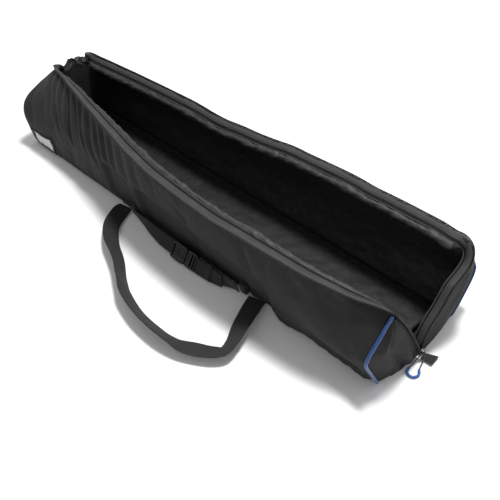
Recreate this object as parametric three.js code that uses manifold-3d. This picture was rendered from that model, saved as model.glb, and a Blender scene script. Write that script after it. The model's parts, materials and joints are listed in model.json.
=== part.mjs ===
// Long padded carry case, unzipped along its top and across one end.
// Millimetres, +Z up. X runs along the case: the split zip end is at +X, the closed end at -X.
// The front side faces -Y. The origin is the middle of the base, on the surface the case rests on.
import * as THREE from 'three';
import { mergeVertices } from 'three/addons/utils/BufferGeometryUtils.js';
import Module from 'manifold-3d';

// ---------------------------------------------------------------- driving dimensions
const LENGTH = 900; // over the two end panels
const HALF = LENGTH / 2;
const BASE_HALF_W = 89; // half width of the flat base at the side seams
const WALL_END = 434; // the padded sides stop here, inside the end panels
const END_IN = 437; // inner face of the end panels
const SKIN = 1.5; // woven outer fabric
const FOAM_IN = 2.0; // depth below the outer surface where the foam starts
const FOAM_OUT = 9.0;
const LINING_IN = 9.4;
const LINING_OUT = 10.4;
const CLOSE_DEG = 15; // the upper sides fold in this far
const GAP = 0.8; // clearance to the fold line at the outer surface
const TAPE_W = 12; // zip tape
const TAPE_T = 1.0;
const COIL = 2.4;
const PIPING_R = 2.0;
const WEB_W = 30; // handle webbing
const WEB_T = 2.0;
const STRAP_W = 25; // cinch strap webbing
const STRAP_T = 1.6;
const SLIDER = [463.1, -8.6, 15.5]; // middle of the back plate of the zip slider
const END_BULGE = 11; // the split end bows out towards its middle

// Side fold line and rim of each side, as [x, y, z] control points of the outer surface.
const FOLD = { front: [[-HALF, -91, 94], [HALF, -133, 83.5]], back: [[-HALF, 143.5, 76.8], [HALF, 136.6, 81.4]] };
const RIM = {
  front: [[-450, -12, 143], [-400, -31, 160], [-350, -47, 168], [-300, -62, 172], [-225, -82, 174], [-150, -99.5, 173],
    [-75, -117, 172], [0, -129, 170], [75, -134.6, 169], [150, -137, 168], [225, -133, 168], [300, -129.5, 168],
    [350, -124, 167], [400, -111, 163], [425, -97, 156], [450, -82, 147]],
  back: [[-450, 75.7, 141.5], [-300, 80, 148], [-150, 83.4, 152], [0, 85.4, 155.5], [150, 88, 159], [300, 94.5, 164],
    [400, 97.4, 166.2], [450, 94, 165]],
};
// Centre line of the front handle with the direction of its inner edge: [x, y, z, wx, wy, wz].
const HANDLE = [
  [-133, -96.4, 6.5, 1, 0, 0], [-132, -103, 7.2, 1, 0.08, -0.04], [-104.2, -146.6, 13.0, 0.85, 0.35, -0.35], [-76.6, -173.7, 19.0, 0.6, 0.5, -0.5],
  [-48.3, -191.2, 23.0, 0.35, 0.7, -0.55], [-20.6, -203.0, 24.0, 0.22, 0.8, -0.5], [11.7, -221.3, 22.0, 0.05, 0.88, -0.45], [47.0, -241.3, 19.0, -0.1, 0.88, -0.45],
  [96.6, -251.9, 17.0, -0.1, 0.86, -0.5], [145.1, -256.5, 17.0, -0.25, 0.78, -0.55], [174.8, -257.6, 17.0, -0.4, 0.7, -0.5], [203.6, -248.9, 15.0, -0.53, 0.8, -0.2],
  [224.6, -237.8, 14.0, -0.58, 0.8, -0.1], [243.7, -227.0, 14.0, -0.66, 0.74, -0.12], [255.1, -212.1, 15.0, -0.84, 0.48, -0.15], [250.7, -189.2, 17.0, -0.95, 0.3, -0.1],
  [237.0, -158.6, 17.0, -1, 0, 0], [224.1, -128.2, 13.0, -0.97, -0.2, 0.05], [210, -103, 7.2, -1, -0.05, 0], [209, -96.4, 6.5, -1, 0, 0]];
// The back handle lies flatter on the floor behind the case.
const BACK_HANDLE = [
  [-150, 96.4, 6.5, 1, 0, 0], [-150.5, 104, 7.2, 1, 0.05, 0], [-155, 130, 8.6, 0.95, -0.15, 0.05], [-150, 160, 10.5, 0.9, -0.4, 0.08], [-126, 188, 12, 0.6, -0.75, 0.12],
  [-90, 204, 12, 0.3, -0.92, 0.16], [-40, 213, 11, 0.08, -0.98, 0.18], [20, 214, 11, 0, -0.98, 0.18], [80, 208, 11, -0.15, -0.97, 0.18], [125, 194, 12, -0.4, -0.88, 0.14],
  [158, 170, 11.5, -0.75, -0.6, 0.1], [170, 142, 9.5, -0.95, -0.25, 0.05], [163, 112, 7.8, -1, 0, 0], [160.3, 103, 7.2, -1, 0, 0], [160, 96.4, 6.5, -1, 0, 0]];

const wasm = await Module();
wasm.setup();

// ---------------------------------------------------------------- materials
const mat = (color, roughness, metalness = 0) => new THREE.MeshStandardMaterial({ color, roughness, metalness });
const fabric = () => mat(0x25262a, 0.9);
const foamMat = () => mat(0x3a3b3e, 0.95);
const liningMat = () => mat(0x121214, 0.55);
const webMat = () => mat(0x1d1d1f, 0.8);
const tapeMat = () => mat(0x2f3034, 0.85);
const coilMat = () => mat(0x1a1a1c, 0.4);
const blue = () => mat(0x1f3f9a, 0.5);
const plastic = () => mat(0x101011, 0.4);
const darkMetal = () => mat(0x4a4a4c, 0.4, 0.85);

const group = new THREE.Group();
function add(name, geometry, material) {
  geometry.computeVertexNormals();
  const mesh = new THREE.Mesh(geometry, material);
  mesh.name = name;
  group.add(mesh);
  return mesh;
}

// ---------------------------------------------------------------- geometry helpers
function weld(geometry) {
  const g = geometry.index ? geometry : geometry.clone();
  g.deleteAttribute('normal');
  g.deleteAttribute('uv');
  g.clearGroups();
  return mergeVertices(g, 1e-5);
}
function faceOut(g) {
  const p = g.attributes.position, ix = g.index.array;
  const a = new THREE.Vector3(), b = new THREE.Vector3(), c = new THREE.Vector3();
  let v = 0;
  for (let i = 0; i < ix.length; i += 3) {
    a.fromBufferAttribute(p, ix[i]); b.fromBufferAttribute(p, ix[i + 1]); c.fromBufferAttribute(p, ix[i + 2]);
    v += a.dot(b.cross(c));
  }
  if (v < 0) for (let i = 0; i < ix.length; i += 3) { const t = ix[i + 1]; ix[i + 1] = ix[i + 2]; ix[i + 2] = t; }
  return g;
}
// A unit box cut into nx * ny * nz cells, each vertex moved by map(u, v, w) with u, v, w in 0..1.
function warpBox(nx, ny, nz, map) {
  const g = weld(new THREE.BoxGeometry(1, 1, 1, nx, ny, nz));
  const p = g.attributes.position;
  for (let i = 0; i < p.count; i++) {
    const v = map(p.getX(i) + 0.5, p.getY(i) + 0.5, p.getZ(i) + 0.5);
    p.setXYZ(i, v[0], v[1], v[2]);
  }
  return faceOut(g);
}
// A thin sheet of nu * nv cells and one cell thick, split the same way on both faces so that
// stacked layers follow each other exactly.
function sheet(nu, nv, map) {
  const face = new THREE.PlaneGeometry(1, 1, nu, nv), fp = face.attributes.position, fi = face.index.array, n = fp.count;
  const pos = new Float32Array(n * 6), index = [];
  for (let k = 0; k < 2; k++) for (let i = 0; i < n; i++) pos.set(map(fp.getX(i) + 0.5, fp.getY(i) + 0.5, k), (k * n + i) * 3);
  for (let i = 0; i < fi.length; i += 3) index.push(fi[i] + n, fi[i + 1] + n, fi[i + 2] + n, fi[i], fi[i + 2], fi[i + 1]);
  const rim = [];
  for (let i = 0; i < nu; i++) rim.push([i + 1, i]);
  for (let j = 0; j < nv; j++) rim.push([j * (nu + 1), (j + 1) * (nu + 1)]);
  for (let i = 0; i < nu; i++) rim.push([nv * (nu + 1) + i, nv * (nu + 1) + i + 1]);
  for (let j = nv; j > 0; j--) rim.push([j * (nu + 1) + nu, (j - 1) * (nu + 1) + nu]);
  for (const [a, b] of rim) index.push(a, b, b + n, a, b + n, a + n);
  const g = new THREE.BufferGeometry();
  g.setAttribute('position', new THREE.BufferAttribute(pos, 3));
  g.setIndex(index);
  return faceOut(g);
}
// A closed roll: map(t, ca, sa) gives a point of the ring at t in 0..1, with (ca, sa) on the unit circle.
function warpRoll(n, sides, map) {
  const g = weld(new THREE.CylinderGeometry(1, 1, 1, sides, n));
  const p = g.attributes.position;
  for (let i = 0; i < p.count; i++) {
    const v = map(p.getY(i) + 0.5, p.getX(i), p.getZ(i));
    p.setXYZ(i, v[0], v[1], v[2]);
  }
  return faceOut(g);
}
function solid(geometry) {
  const g = weld(geometry);
  return new wasm.Manifold(new wasm.Mesh({ numProp: 3, vertProperties: new Float32Array(g.attributes.position.array), triVerts: new Uint32Array(g.index.array) }));
}
function fromSolid(m) {
  const mesh = m.getMesh();
  const g = new THREE.BufferGeometry();
  const np = mesh.numProp, n = mesh.vertProperties.length / np;
  const pos = new Float32Array(n * 3);
  for (let i = 0; i < n; i++) for (let k = 0; k < 3; k++) pos[i * 3 + k] = mesh.vertProperties[i * np + k];
  g.setAttribute('position', new THREE.BufferAttribute(pos, 3));
  g.setIndex(new THREE.BufferAttribute(new Uint32Array(mesh.triVerts), 1));
  return g;
}
const lerp = (a, b, t) => a + (b - a) * t;
// Piecewise cubic (Catmull-Rom) value of a table of [x, ...values] at x.
function table(rows, x) {
  let i = 0;
  while (i < rows.length - 2 && x > rows[i + 1][0]) i++;
  const p0 = rows[Math.max(i - 1, 0)], p1 = rows[i], p2 = rows[i + 1], p3 = rows[Math.min(i + 2, rows.length - 1)];
  const t = (x - p1[0]) / (p2[0] - p1[0]);
  if (rows.length === 2) return p1.slice(1).map((v, k) => lerp(v, p2[k + 1], t));
  return p1.slice(1).map((v, k) => {
    const h = p2[0] - p1[0];
    const m1 = i > 0 ? (p2[k + 1] - p0[k + 1]) / (p2[0] - p0[0]) * h : p2[k + 1] - v;
    const m2 = i < rows.length - 2 ? (p3[k + 1] - v) / (p3[0] - p1[0]) * h : p2[k + 1] - v;
    const t2 = t * t, t3 = t2 * t;
    return (2 * t3 - 3 * t2 + 1) * v + (t3 - 2 * t2 + t) * m1 + (-2 * t3 + 3 * t2) * p2[k + 1] + (t3 - t2) * m2;
  });
}

// ---------------------------------------------------------------- the cross section
// Lower side: base corner to fold. Upper side: fold to rim. Directions are unit vectors in the Y-Z plane.
function section(side, x) {
  const s = side === 'front' ? -1 : 1;
  const B = [s * BASE_HALF_W, 0], C = table(FOLD[side], x), T = table(RIM[side], x);
  const dir = (a, b) => { const l = Math.hypot(b[0] - a[0], b[1] - a[1]); return [(b[0] - a[0]) / l, (b[1] - a[1]) / l, l]; };
  const w = dir(B, C), f = dir(C, T);
  const inward = (e) => (s < 0 ? [e[1], -e[0]] : [-e[1], e[0]]);
  const bend = Math.abs(Math.atan2(s * w[0], w[1]) - Math.atan2(s * f[0], f[1]));
  return { s, B, C, T, w, f, nw: inward(w), nf: inward(f), bend };
}
const cut = (q, d) => GAP + d * Math.tan((q.bend + CLOSE_DEG * Math.PI / 180) / 2); // bevel of both sides at the fold
const wallPoint = (q, x, s, d) => [x, q.B[0] + q.w[0] * s + q.nw[0] * d, q.B[1] + q.w[1] * s + q.nw[1] * d];
const flapPoint = (q, x, s, d) => [x, q.C[0] + q.f[0] * s + q.nf[0] * d, q.C[1] + q.f[1] * s + q.nf[1] * d];
const NX = 14;
function wallLayer(side, d0, d1) {
  return sheet(NX, 2, (u, v, t) => {
    const x = lerp(-WALL_END, WALL_END, u), q = section(side, x), d = lerp(d0, d1, t);
    return wallPoint(q, x, lerp(2.4, q.w[2] - cut(q, d), v), d);
  });
}
function flapLayer(side, d0, d1) {
  return sheet(NX + 6, 2, (u, v, t) => {
    const x = lerp(-WALL_END, WALL_END, u), q = section(side, x), d = lerp(d0, d1, t);
    return flapPoint(q, x, lerp(cut(q, d), q.f[2] - 4.2, v), d);
  });
}

// ---------------------------------------------------------------- base
const slab = (x0, x1, y0, y1, z0, z1, nx = 1) => warpBox(nx, 1, 1, (u, v, t) => [lerp(x0, x1, u), lerp(y0, y1, v), lerp(z0, z1, t)]);
add('base_panel', slab(-WALL_END, WALL_END, -88, 88, 0, SKIN), fabric());
add('base_foam', slab(-WALL_END + 2, WALL_END - 2, -72, 72, 2.0, 8.0), foamMat());
add('base_board', slab(-WALL_END + 4, WALL_END - 4, -70, 70, 8.4, 11.0), mat(0x2c2c2e, 0.6));
add('base_lining', slab(-WALL_END + 2, WALL_END - 2, -70, 70, 11.4, 12.4), liningMat());

// ---------------------------------------------------------------- sides below the fold
for (const side of ['front', 'back']) {
  add(`${side}_side_panel`, wallLayer(side, 0, SKIN), fabric());
  add(`${side}_side_foam`, wallLayer(side, FOAM_IN, FOAM_OUT), foamMat());
  add(`${side}_side_lining`, wallLayer(side, LINING_IN, LINING_OUT), liningMat());
}

// ---------------------------------------------------------------- hinged upper sides with the zip
for (const side of ['front', 'back']) {
  add(`${side}_flap_panel`, flapLayer(side, 0, SKIN), fabric());
  add(`${side}_flap_foam`, flapLayer(side, FOAM_IN, FOAM_OUT), foamMat());
  add(`${side}_flap_lining`, flapLayer(side, LINING_IN, LINING_OUT), liningMat());
  // the zip tape lies across the top of the padded rim, with the coil on its outer edge
  add(`${side}_zip_tape`, warpBox(NX + 6, 1, 1, (u, v, t) => {
    const x = lerp(-WALL_END, WALL_END, u), q = section(side, x);
    return flapPoint(q, x, q.f[2] - 3 + t * TAPE_T, lerp(-5, TAPE_W - 5, v));
  }), tapeMat());
  add(`${side}_zip_coil`, warpBox(NX + 6, 1, 1, (u, v, t) => {
    const x = lerp(-WALL_END, WALL_END, u), q = section(side, x);
    return flapPoint(q, x, q.f[2] - 3.7 + t * COIL, lerp(-5.4 - COIL, -5.4, v));
  }), coilMat());
  // the lining is gathered into a soft roll along the inside of the rim
  add(`${side}_rim_roll`, warpRoll(NX + 6, 8, (t, ca, sa) => {
    const x = lerp(-WALL_END, WALL_END, t), q = section(side, x);
    return flapPoint(q, x, q.f[2] - 6.8 + 5.0 * ca, 17.2 + 5.0 * sa);
  }), liningMat());
}

// ---------------------------------------------------------------- end panels
// Shapes drawn in the Y-Z plane and extruded along X.
const endBasis = new THREE.Matrix4().makeBasis(new THREE.Vector3(0, 1, 0), new THREE.Vector3(0, 0, 1), new THREE.Vector3(1, 0, 0));
const bow = (y) => END_BULGE * Math.max(0, 1 - (y / 95) ** 2);
function plate(points, x0, x1) {
  const shape = new THREE.Shape(points.map(([y, z]) => new THREE.Vector2(y, z)));
  const g = new THREE.ExtrudeGeometry(shape, { depth: x1 - x0, bevelEnabled: false, steps: 1 });
  g.applyMatrix4(endBasis);
  g.translate(x0, 0, 0);
  if (x0 > 0) { // the split end bows outwards
    const p = g.attributes.position;
    for (let i = 0; i < p.count; i++) p.setX(i, p.getX(i) + bow(p.getY(i)));
  }
  return faceOut(weld(g));
}
const F = section('front', -HALF), K = section('back', -HALF);
const farOutline = (m) => [[F.B[0] + m, m], [F.C[0] + m, F.C[1] + m * 0.2], [F.T[0] + 0.6 * m, F.T[1] - m], [10, 128 - m * 0.6], [33, 122 - m * 0.6], [55, 129 - m * 0.6],
  [K.T[0] - 0.6 * m, K.T[1] - m], [K.C[0] - m, K.C[1] + m * 0.2], [K.B[0] - m, m]];
add('far_end_panel', plate(farOutline(0), -HALF, -HALF + SKIN), fabric());
add('far_end_foam', plate(farOutline(3), -HALF + FOAM_IN, -HALF + FOAM_OUT), foamMat());
add('far_end_lining', plate(farOutline(4), -HALF + LINING_IN, -HALF + LINING_OUT), liningMat());

// The zip end is split from the floor to the rim. Each half is a lower piece sewn to the base and an
// upper piece carried by the hinged side, with a wedge between them that lets the side fold in.
const N = section('front', HALF), M = section('back', HALF);
const turn = (c, p, deg) => { const a = deg * Math.PI / 180, y = p[0] - c[0], z = p[1] - c[1]; return [c[0] + y * Math.cos(a) + z * Math.sin(a), c[1] - y * Math.sin(a) + z * Math.cos(a)]; };
const frontSlit = [[-3, 9], [-14, 37], [-34, 84], [-52, 118], [N.T[0] + 6, N.T[1] + 1]]; // bottom to top
const backSlit = [[5, 9], [9, 36], [26, 84], [58, 124], [M.T[0] - 8, M.T[1] + 1]];
const frontLower = [[N.B[0] + 0.5, 2.4], [N.C[0] + 0.4, N.C[1] - 2.6], turn(N.C, [-22, N.C[1] - 4], CLOSE_DEG + 2), frontSlit[1], frontSlit[0], [-12, 2.4]];
const frontUpper = [[N.C[0] + 1.0, N.C[1] + 1.4], [N.T[0] + 0.6, N.T[1] - 1], frontSlit[4], frontSlit[3], [-34, N.C[1] + 0.6]];
const backLower = [[M.B[0] - 0.5, 2.4], [12, 2.4], backSlit[0], backSlit[1], turn(M.C, [16, M.C[1] - 3], -CLOSE_DEG - 2), [M.C[0] - 0.4, M.C[1] - 2.6]];
const backUpper = [[M.C[0] - 1.0, M.C[1] + 1.4], [26, M.C[1] + 0.6], backSlit[3], backSlit[4], [M.T[0] - 0.6, M.T[1] - 1]];
for (const [name, outline] of [['zip_end_front_lower', frontLower], ['zip_end_front_upper', frontUpper], ['zip_end_back_lower', backLower], ['zip_end_back_upper', backUpper]]) {
  add(name, plate(outline, END_IN + 1, HALF), fabric());
}
// zip tape along each edge of the split, on the outside of the end
function edgeTape(points, off, w) {
  return warpBox(points.length - 1, 1, 1, (u, v, t) => {
    const i = Math.round(u * (points.length - 1)), a = points[Math.max(i - 1, 0)], b = points[Math.min(i + 1, points.length - 1)];
    const l = Math.hypot(b[0] - a[0], b[1] - a[1]), n = [-(b[1] - a[1]) / l, (b[0] - a[0]) / l];
    const o = lerp(off, off + w, v);
    const y = points[i][0] + n[0] * o;
    return [HALF + bow(points[i][0]) + 0.8 + t * TAPE_T, y, points[i][1] + n[1] * o];
  });
}
const mid = (a, b, t) => [lerp(a[0], b[0], t), lerp(a[1], b[1], t)];
add('zip_end_front_tape_lower', edgeTape([frontSlit[0], mid(frontSlit[0], frontSlit[1], 0.5), frontSlit[1]], -3, 9), tapeMat());
add('zip_end_front_tape_upper', edgeTape([mid(frontSlit[2], frontSlit[3], 0.08), frontSlit[3], frontSlit[4]], -3, 9), tapeMat());
add('zip_end_back_tape_lower', edgeTape([backSlit[0], mid(backSlit[0], backSlit[1], 0.5), backSlit[1]], -6, 9), tapeMat());
add('zip_end_back_tape_upper', edgeTape([mid(backSlit[2], backSlit[3], 0.08), backSlit[3], backSlit[4]], -6, 9), tapeMat());

// ---------------------------------------------------------------- blue piping on the seam of the zip end
function tube(points, r, sides = 8, steps = 8, closed = false) {
  const curve = points.length === 2 ? new THREE.LineCurve3(...points.map((p) => new THREE.Vector3(...p))) : new THREE.CatmullRomCurve3(points.map((p) => new THREE.Vector3(...p)), closed);
  const ring = new THREE.Shape(Array.from({ length: sides }, (_, i) => new THREE.Vector2(r * Math.cos(i * 2 * Math.PI / sides), r * Math.sin(i * 2 * Math.PI / sides))));
  return faceOut(weld(new THREE.ExtrudeGeometry(ring, { steps, bevelEnabled: false, extrudePath: curve })));
}
const PO = PIPING_R + 1.2; // the piping stands this far off the corner
const pipe = (q, a, s, upper) => { const p = upper ? flapPoint(q, HALF - 2.5, s, -PO) : wallPoint(q, HALF - 2.5, s, -PO); return p; };
add('front_piping_lower', tube([pipe(N, 0, 5, false), pipe(N, 0, N.w[2] - 4, false)], PIPING_R, 8, 3), blue());
add('front_piping_upper', tube([pipe(N, 0, 4, true), pipe(N, 0, N.f[2] - 7, true)], PIPING_R, 8, 3), blue());
add('back_piping_lower', tube([pipe(M, 0, 5, false), pipe(M, 0, M.w[2] - 4, false)], PIPING_R, 8, 3), blue());
add('back_piping_upper', tube([pipe(M, 0, 4, true), pipe(M, 0, M.f[2] - 7, true)], PIPING_R, 8, 3), blue());

// ---------------------------------------------------------------- webbing
function ribbon(rows, width, thick, n) {
  const curve = new THREE.CatmullRomCurve3(rows.map((r) => new THREE.Vector3(r[0], r[1], r[2])), false, 'centripetal');
  const wide = new THREE.CatmullRomCurve3(rows.map((r) => new THREE.Vector3(r[3], r[4], r[5])), false, 'centripetal');
  const frames = Array.from({ length: n + 1 }, (_, i) => {
    const t = i / n, p = curve.getPoint(t), d = curve.getTangent(t), w = wide.getPoint(t);
    w.addScaledVector(d, -w.dot(d)).normalize();
    return { p, w, m: new THREE.Vector3().crossVectors(d, w).normalize() };
  });
  return warpBox(n, 1, 1, (u, v, t) => {
    const f = frames[Math.round(u * n)];
    const q = f.p.clone().addScaledVector(f.w, (v - 0.5) * width).addScaledVector(f.m, (t - 0.5) * thick);
    return [q.x, q.y, q.z];
  });
}
add('front_handle', ribbon(HANDLE, WEB_W, WEB_T, 44), webMat());
add('back_handle', ribbon(BACK_HANDLE, WEB_W, WEB_T, 36), webMat());
// sewn feet of the handles and of the strap, flat on the side just above the base seam
function foot(side, x, w, s0 = 3, s1 = 8.6) {
  return warpBox(1, 1, 1, (u, v, t) => { const xx = lerp(x - w / 2, x + w / 2, u), q = section(side, xx); return wallPoint(q, xx, lerp(s0, s1, v), -lerp(0.4, 1.9, t)); });
}
add('front_handle_foot_far', foot('front', -133, 30), webMat());
add('front_handle_foot_near', foot('front', 209, 30), webMat());
add('back_handle_foot_far', foot('back', -150, 30), webMat());
add('back_handle_foot_near', foot('back', 160, 30), webMat());
// narrow band sewn along the base seam between the handle feet
add('front_seam_band', warpBox(8, 1, 1, (u, v, t) => { const x = lerp(-90, 174, u), q = section('front', x); return wallPoint(q, x, lerp(3, 9, v), -lerp(0.4, 1.6, t)); }), webMat());

// ---------------------------------------------------------------- cinch strap with side-release buckle
const SY = -116, SZ = 17.2; // strap centre line beside the buckle
const LEAN = [0, 0.5, 0.866]; // the strap leans back against the side
const farRows = [[-90.8, -104.5, 17, 0, -0.3, 0.95], [-70, -107, 17, 0, -0.15, 0.98], [-40, -111, 17, 0, 0.2, 0.97], [-5, -115, 17.1, 0, 0.45, 0.89], [27, SY, SZ, ...LEAN]];
const nearRows = [[89, SY, SZ, ...LEAN], [115, -115, 17.1, 0, 0.4, 0.92], [140, -112.4, 17, 0, 0.1, 0.99], [162, -109, 17, 0, -0.3, 0.95]];
// folded ends of the strap, sewn to the side
function strapFoot(x, w, out) {
  return warpBox(1, 1, 1, (u, v, t) => { const xx = lerp(x - w / 2, x + w / 2, u), q = section('front', xx); return wallPoint(q, xx, lerp(6, 28, v), -lerp(0.4, out, t)); });
}
add('strap_foot_far', strapFoot(-98, 12.8, 12), webMat());
add('strap_foot_near', strapFoot(182.5, 12.6, 10), webMat());
add('strap_far_half', ribbon(farRows, STRAP_W, STRAP_T, 14), webMat());
add('strap_near_half', ribbon(nearRows, STRAP_W, 3.6, 10), webMat());
// Buckle parts are drawn flat (x along the strap, y across it, z out of its face) and then set on the strap.
const buckleFrame = new THREE.Matrix4().makeBasis(new THREE.Vector3(1, 0, 0), new THREE.Vector3(0, LEAN[1], LEAN[2]), new THREE.Vector3(0, -LEAN[2], LEAN[1]));
buckleFrame.setPosition(0, SY, SZ);
const block = (x0, x1, y0, y1, z0, z1) => solid(new THREE.BoxGeometry(x1 - x0, y1 - y0, z1 - z0).translate((x0 + x1) / 2, (y0 + y1) / 2, (z0 + z1) / 2));
function profile(points, z0, z1) {
  const g = new THREE.ExtrudeGeometry(new THREE.Shape(points.map(([x, y]) => new THREE.Vector2(x, y))), { depth: z1 - z0, bevelEnabled: false });
  return solid(g.translate(0, 0, z0));
}
const half = 15.5;
const socketBody = profile([[28, -12.5], [30, -14.5], [40, -half], [52, -half], [60, -14.8], [62, -13], [62, 13], [60, 14.8], [52, half], [40, half], [30, 14.5], [28, 12.5]], -5, 5)
  .subtract(block(36, 63, -12.4, 12.4, -3.2, 3.2)) // cavity for the plug
  .subtract(block(38, 50, -17, 17, -3.2, 3.2)) // side windows where the arms are pressed
  .subtract(block(30, 33.5, -11, 11, -6, 6)); // slot for the webbing
const plugBody = profile([[63, -13], [66, -15], [80, -15], [86, -14], [86, 14], [80, 15], [66, 15], [63, 13]], -4, 4)
  .subtract(block(80.5, 83.6, -11.5, 11.5, -6, 6)) // two slots make the bar the webbing turns round
  .subtract(block(73.5, 77, -11.5, 11.5, -6, 6))
  .add(profile([[42, -3], [44, -4], [64, -4], [64, 4], [44, 4], [42, 3]], -2.4, 2.4))
  .add(profile([[64, -11.6], [64, -8], [50, -7.8], [44, -8], [41, -10], [44, -11.8], [50, -11.9]], -2.6, 2.6))
  .add(profile([[64, 11.6], [50, 11.9], [44, 11.8], [41, 10], [44, 8], [50, 7.8], [64, 8]], -2.6, 2.6));
const place = (m, matrix) => faceOut(weld(fromSolid(m).applyMatrix4(matrix)));
add('buckle_socket', place(socketBody, buckleFrame), plastic());
add('buckle_plug', place(plugBody, buckleFrame), plastic());
// elastic keeper round the doubled strap
const keeper = block(112, 122, -14.8, 14.8, -4.1, 4.1).subtract(block(111, 123, -13.7, 13.7, -3.2, 3.2));
const keeperFrame = new THREE.Matrix4().makeRotationZ(0.06).multiply(new THREE.Matrix4().makeBasis(new THREE.Vector3(1, 0, 0), new THREE.Vector3(0, 0.4, 0.9165), new THREE.Vector3(0, -0.9165, 0.4)));
keeperFrame.setPosition(0.0, -122.1, SZ);
add('strap_keeper', place(keeper, keeperFrame), webMat());

// ---------------------------------------------------------------- zip slider, pull cord and end tab
const sliderBody = profile([[-3.6, 6.4], [-4.6, 3], [-3.0, -5.6], [-1.5, -6.6], [1.5, -6.6], [3.0, -5.6], [4.6, 3], [3.6, 6.4], [1.2, 5], [-1.2, 5]], 0, 2.0)
  .add(block(-1.2, 1.2, -3, 5.4, 1.5, 5.6))
  .subtract(block(-2, 2, -1.7, 4.2, 2.2, 4.8));
const slitDir = new THREE.Vector3(0, -0.1, 0.995).normalize();
const sliderFrame = new THREE.Matrix4().makeBasis(new THREE.Vector3().crossVectors(slitDir, new THREE.Vector3(1, 0, 0)).normalize(), slitDir, new THREE.Vector3(1, 0, 0));
sliderFrame.setPosition(...SLIDER);
add('zip_slider', place(sliderBody, sliderFrame), darkMetal());
add('pull_cord', tube([[476.2, -28.6, 3.0], [473.2, -18.0, 6.0], [470.6, -8.4, 9.0], [468.8, -5.2, 12.2], [466.9, -5.4, 15.0], [466.6, -8.6, 15.6], [466.4, -11.6, 14.6], [464.9, -17.5, 9.6], [463.9, -27.0, 4.6], [463.6, -37.0, 3.0]], 0.8, 6, 34), mat(0x18181a, 0.8));
add('pull_tube', tube([[464.0, -38.6, 3.0], [465.4, -43.9, 2.8], [470.8, -47.4, 2.6], [477.2, -46.6, 2.5], [481.4, -40.6, 2.6], [480.4, -34.0, 2.8], [477.2, -30.0, 3.0]], 1.9, 8, 18), blue());
add('end_tab', warpBox(4, 1, 1, (u, v, t) => {
  const x = lerp(lerp(466.2, 464, v), lerp(484, 482.5, v), u), y = lerp(lerp(-9.5, 3, v), lerp(-9, 11, v), u);
  return [x, y, 1.4 + 1.6 * Math.sin(u * 1.4) + t * 2.6];
}), webMat());
// bottom stop of the zip, where the two coils meet
add('zip_bottom_stop', plate([[-3.4, 3.0], [5.4, 3.0], [5.4, 6.4], [-3.4, 6.4]], HALF + 0.4, HALF + 1.9), darkMetal());

// ---------------------------------------------------------------- address window, low on the front at the closed end
function patch(x0, x1, s0, s1, d0, d1) {
  return sheet(4, 2, (u, v, t) => { const x = lerp(x0, x1, u), q = section('front', x); return wallPoint(q, x, lerp(s0, s1, v), -lerp(d0, d1, t)); });
}
const ring = solid(patch(-432, -368, 4, 44, 0.5, 1.9)).subtract(solid(patch(-427, -373, 8.5, 39.5, -1, 3)));
add('window_frame', faceOut(weld(fromSolid(ring))), webMat());
add('window_card', patch(-426.4, -373.6, 9, 39, 0.6, 0.9), mat(0xc9cac8, 0.7));
add('window_film', patch(-426.4, -373.6, 9, 39, 1.2, 1.5), mat(0xe8ecec, 0.15));

export default group;
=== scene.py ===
# Long padded carry bag, unzipped and standing open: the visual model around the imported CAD.
# Lengths inside the builders are millimetres in the CAD's frame; MM turns them into metres.
import bpy, bmesh, math
import numpy as np
from mathutils import Vector, Matrix
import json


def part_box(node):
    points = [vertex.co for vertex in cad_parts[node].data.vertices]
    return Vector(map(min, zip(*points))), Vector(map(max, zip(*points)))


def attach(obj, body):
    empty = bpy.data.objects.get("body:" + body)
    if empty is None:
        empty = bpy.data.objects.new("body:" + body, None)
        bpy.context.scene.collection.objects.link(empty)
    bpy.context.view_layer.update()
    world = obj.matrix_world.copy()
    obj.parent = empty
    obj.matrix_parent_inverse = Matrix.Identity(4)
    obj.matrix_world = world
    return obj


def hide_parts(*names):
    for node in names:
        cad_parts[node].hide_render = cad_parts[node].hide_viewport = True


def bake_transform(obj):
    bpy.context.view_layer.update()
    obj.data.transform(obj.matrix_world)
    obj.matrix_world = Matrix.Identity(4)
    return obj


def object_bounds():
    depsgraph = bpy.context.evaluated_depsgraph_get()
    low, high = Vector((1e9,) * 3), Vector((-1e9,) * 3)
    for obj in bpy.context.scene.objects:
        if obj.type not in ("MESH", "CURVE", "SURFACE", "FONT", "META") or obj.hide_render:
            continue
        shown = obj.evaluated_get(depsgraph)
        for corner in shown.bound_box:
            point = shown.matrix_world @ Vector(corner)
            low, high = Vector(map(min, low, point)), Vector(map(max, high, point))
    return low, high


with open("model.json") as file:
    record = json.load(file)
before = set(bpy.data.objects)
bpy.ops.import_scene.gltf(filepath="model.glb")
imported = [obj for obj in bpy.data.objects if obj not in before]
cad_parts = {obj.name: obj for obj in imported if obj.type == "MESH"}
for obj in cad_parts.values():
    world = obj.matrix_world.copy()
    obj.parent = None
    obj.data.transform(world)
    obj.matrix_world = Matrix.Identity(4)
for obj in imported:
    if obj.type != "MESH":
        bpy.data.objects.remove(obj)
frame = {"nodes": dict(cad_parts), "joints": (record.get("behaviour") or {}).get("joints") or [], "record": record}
cad_lo, cad_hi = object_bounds()
MM = 0.001
REC = frame["record"]


def cadbox(node):
    lo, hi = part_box(node)
    return np.array(lo) * 1000.0, np.array(hi) * 1000.0


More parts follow.
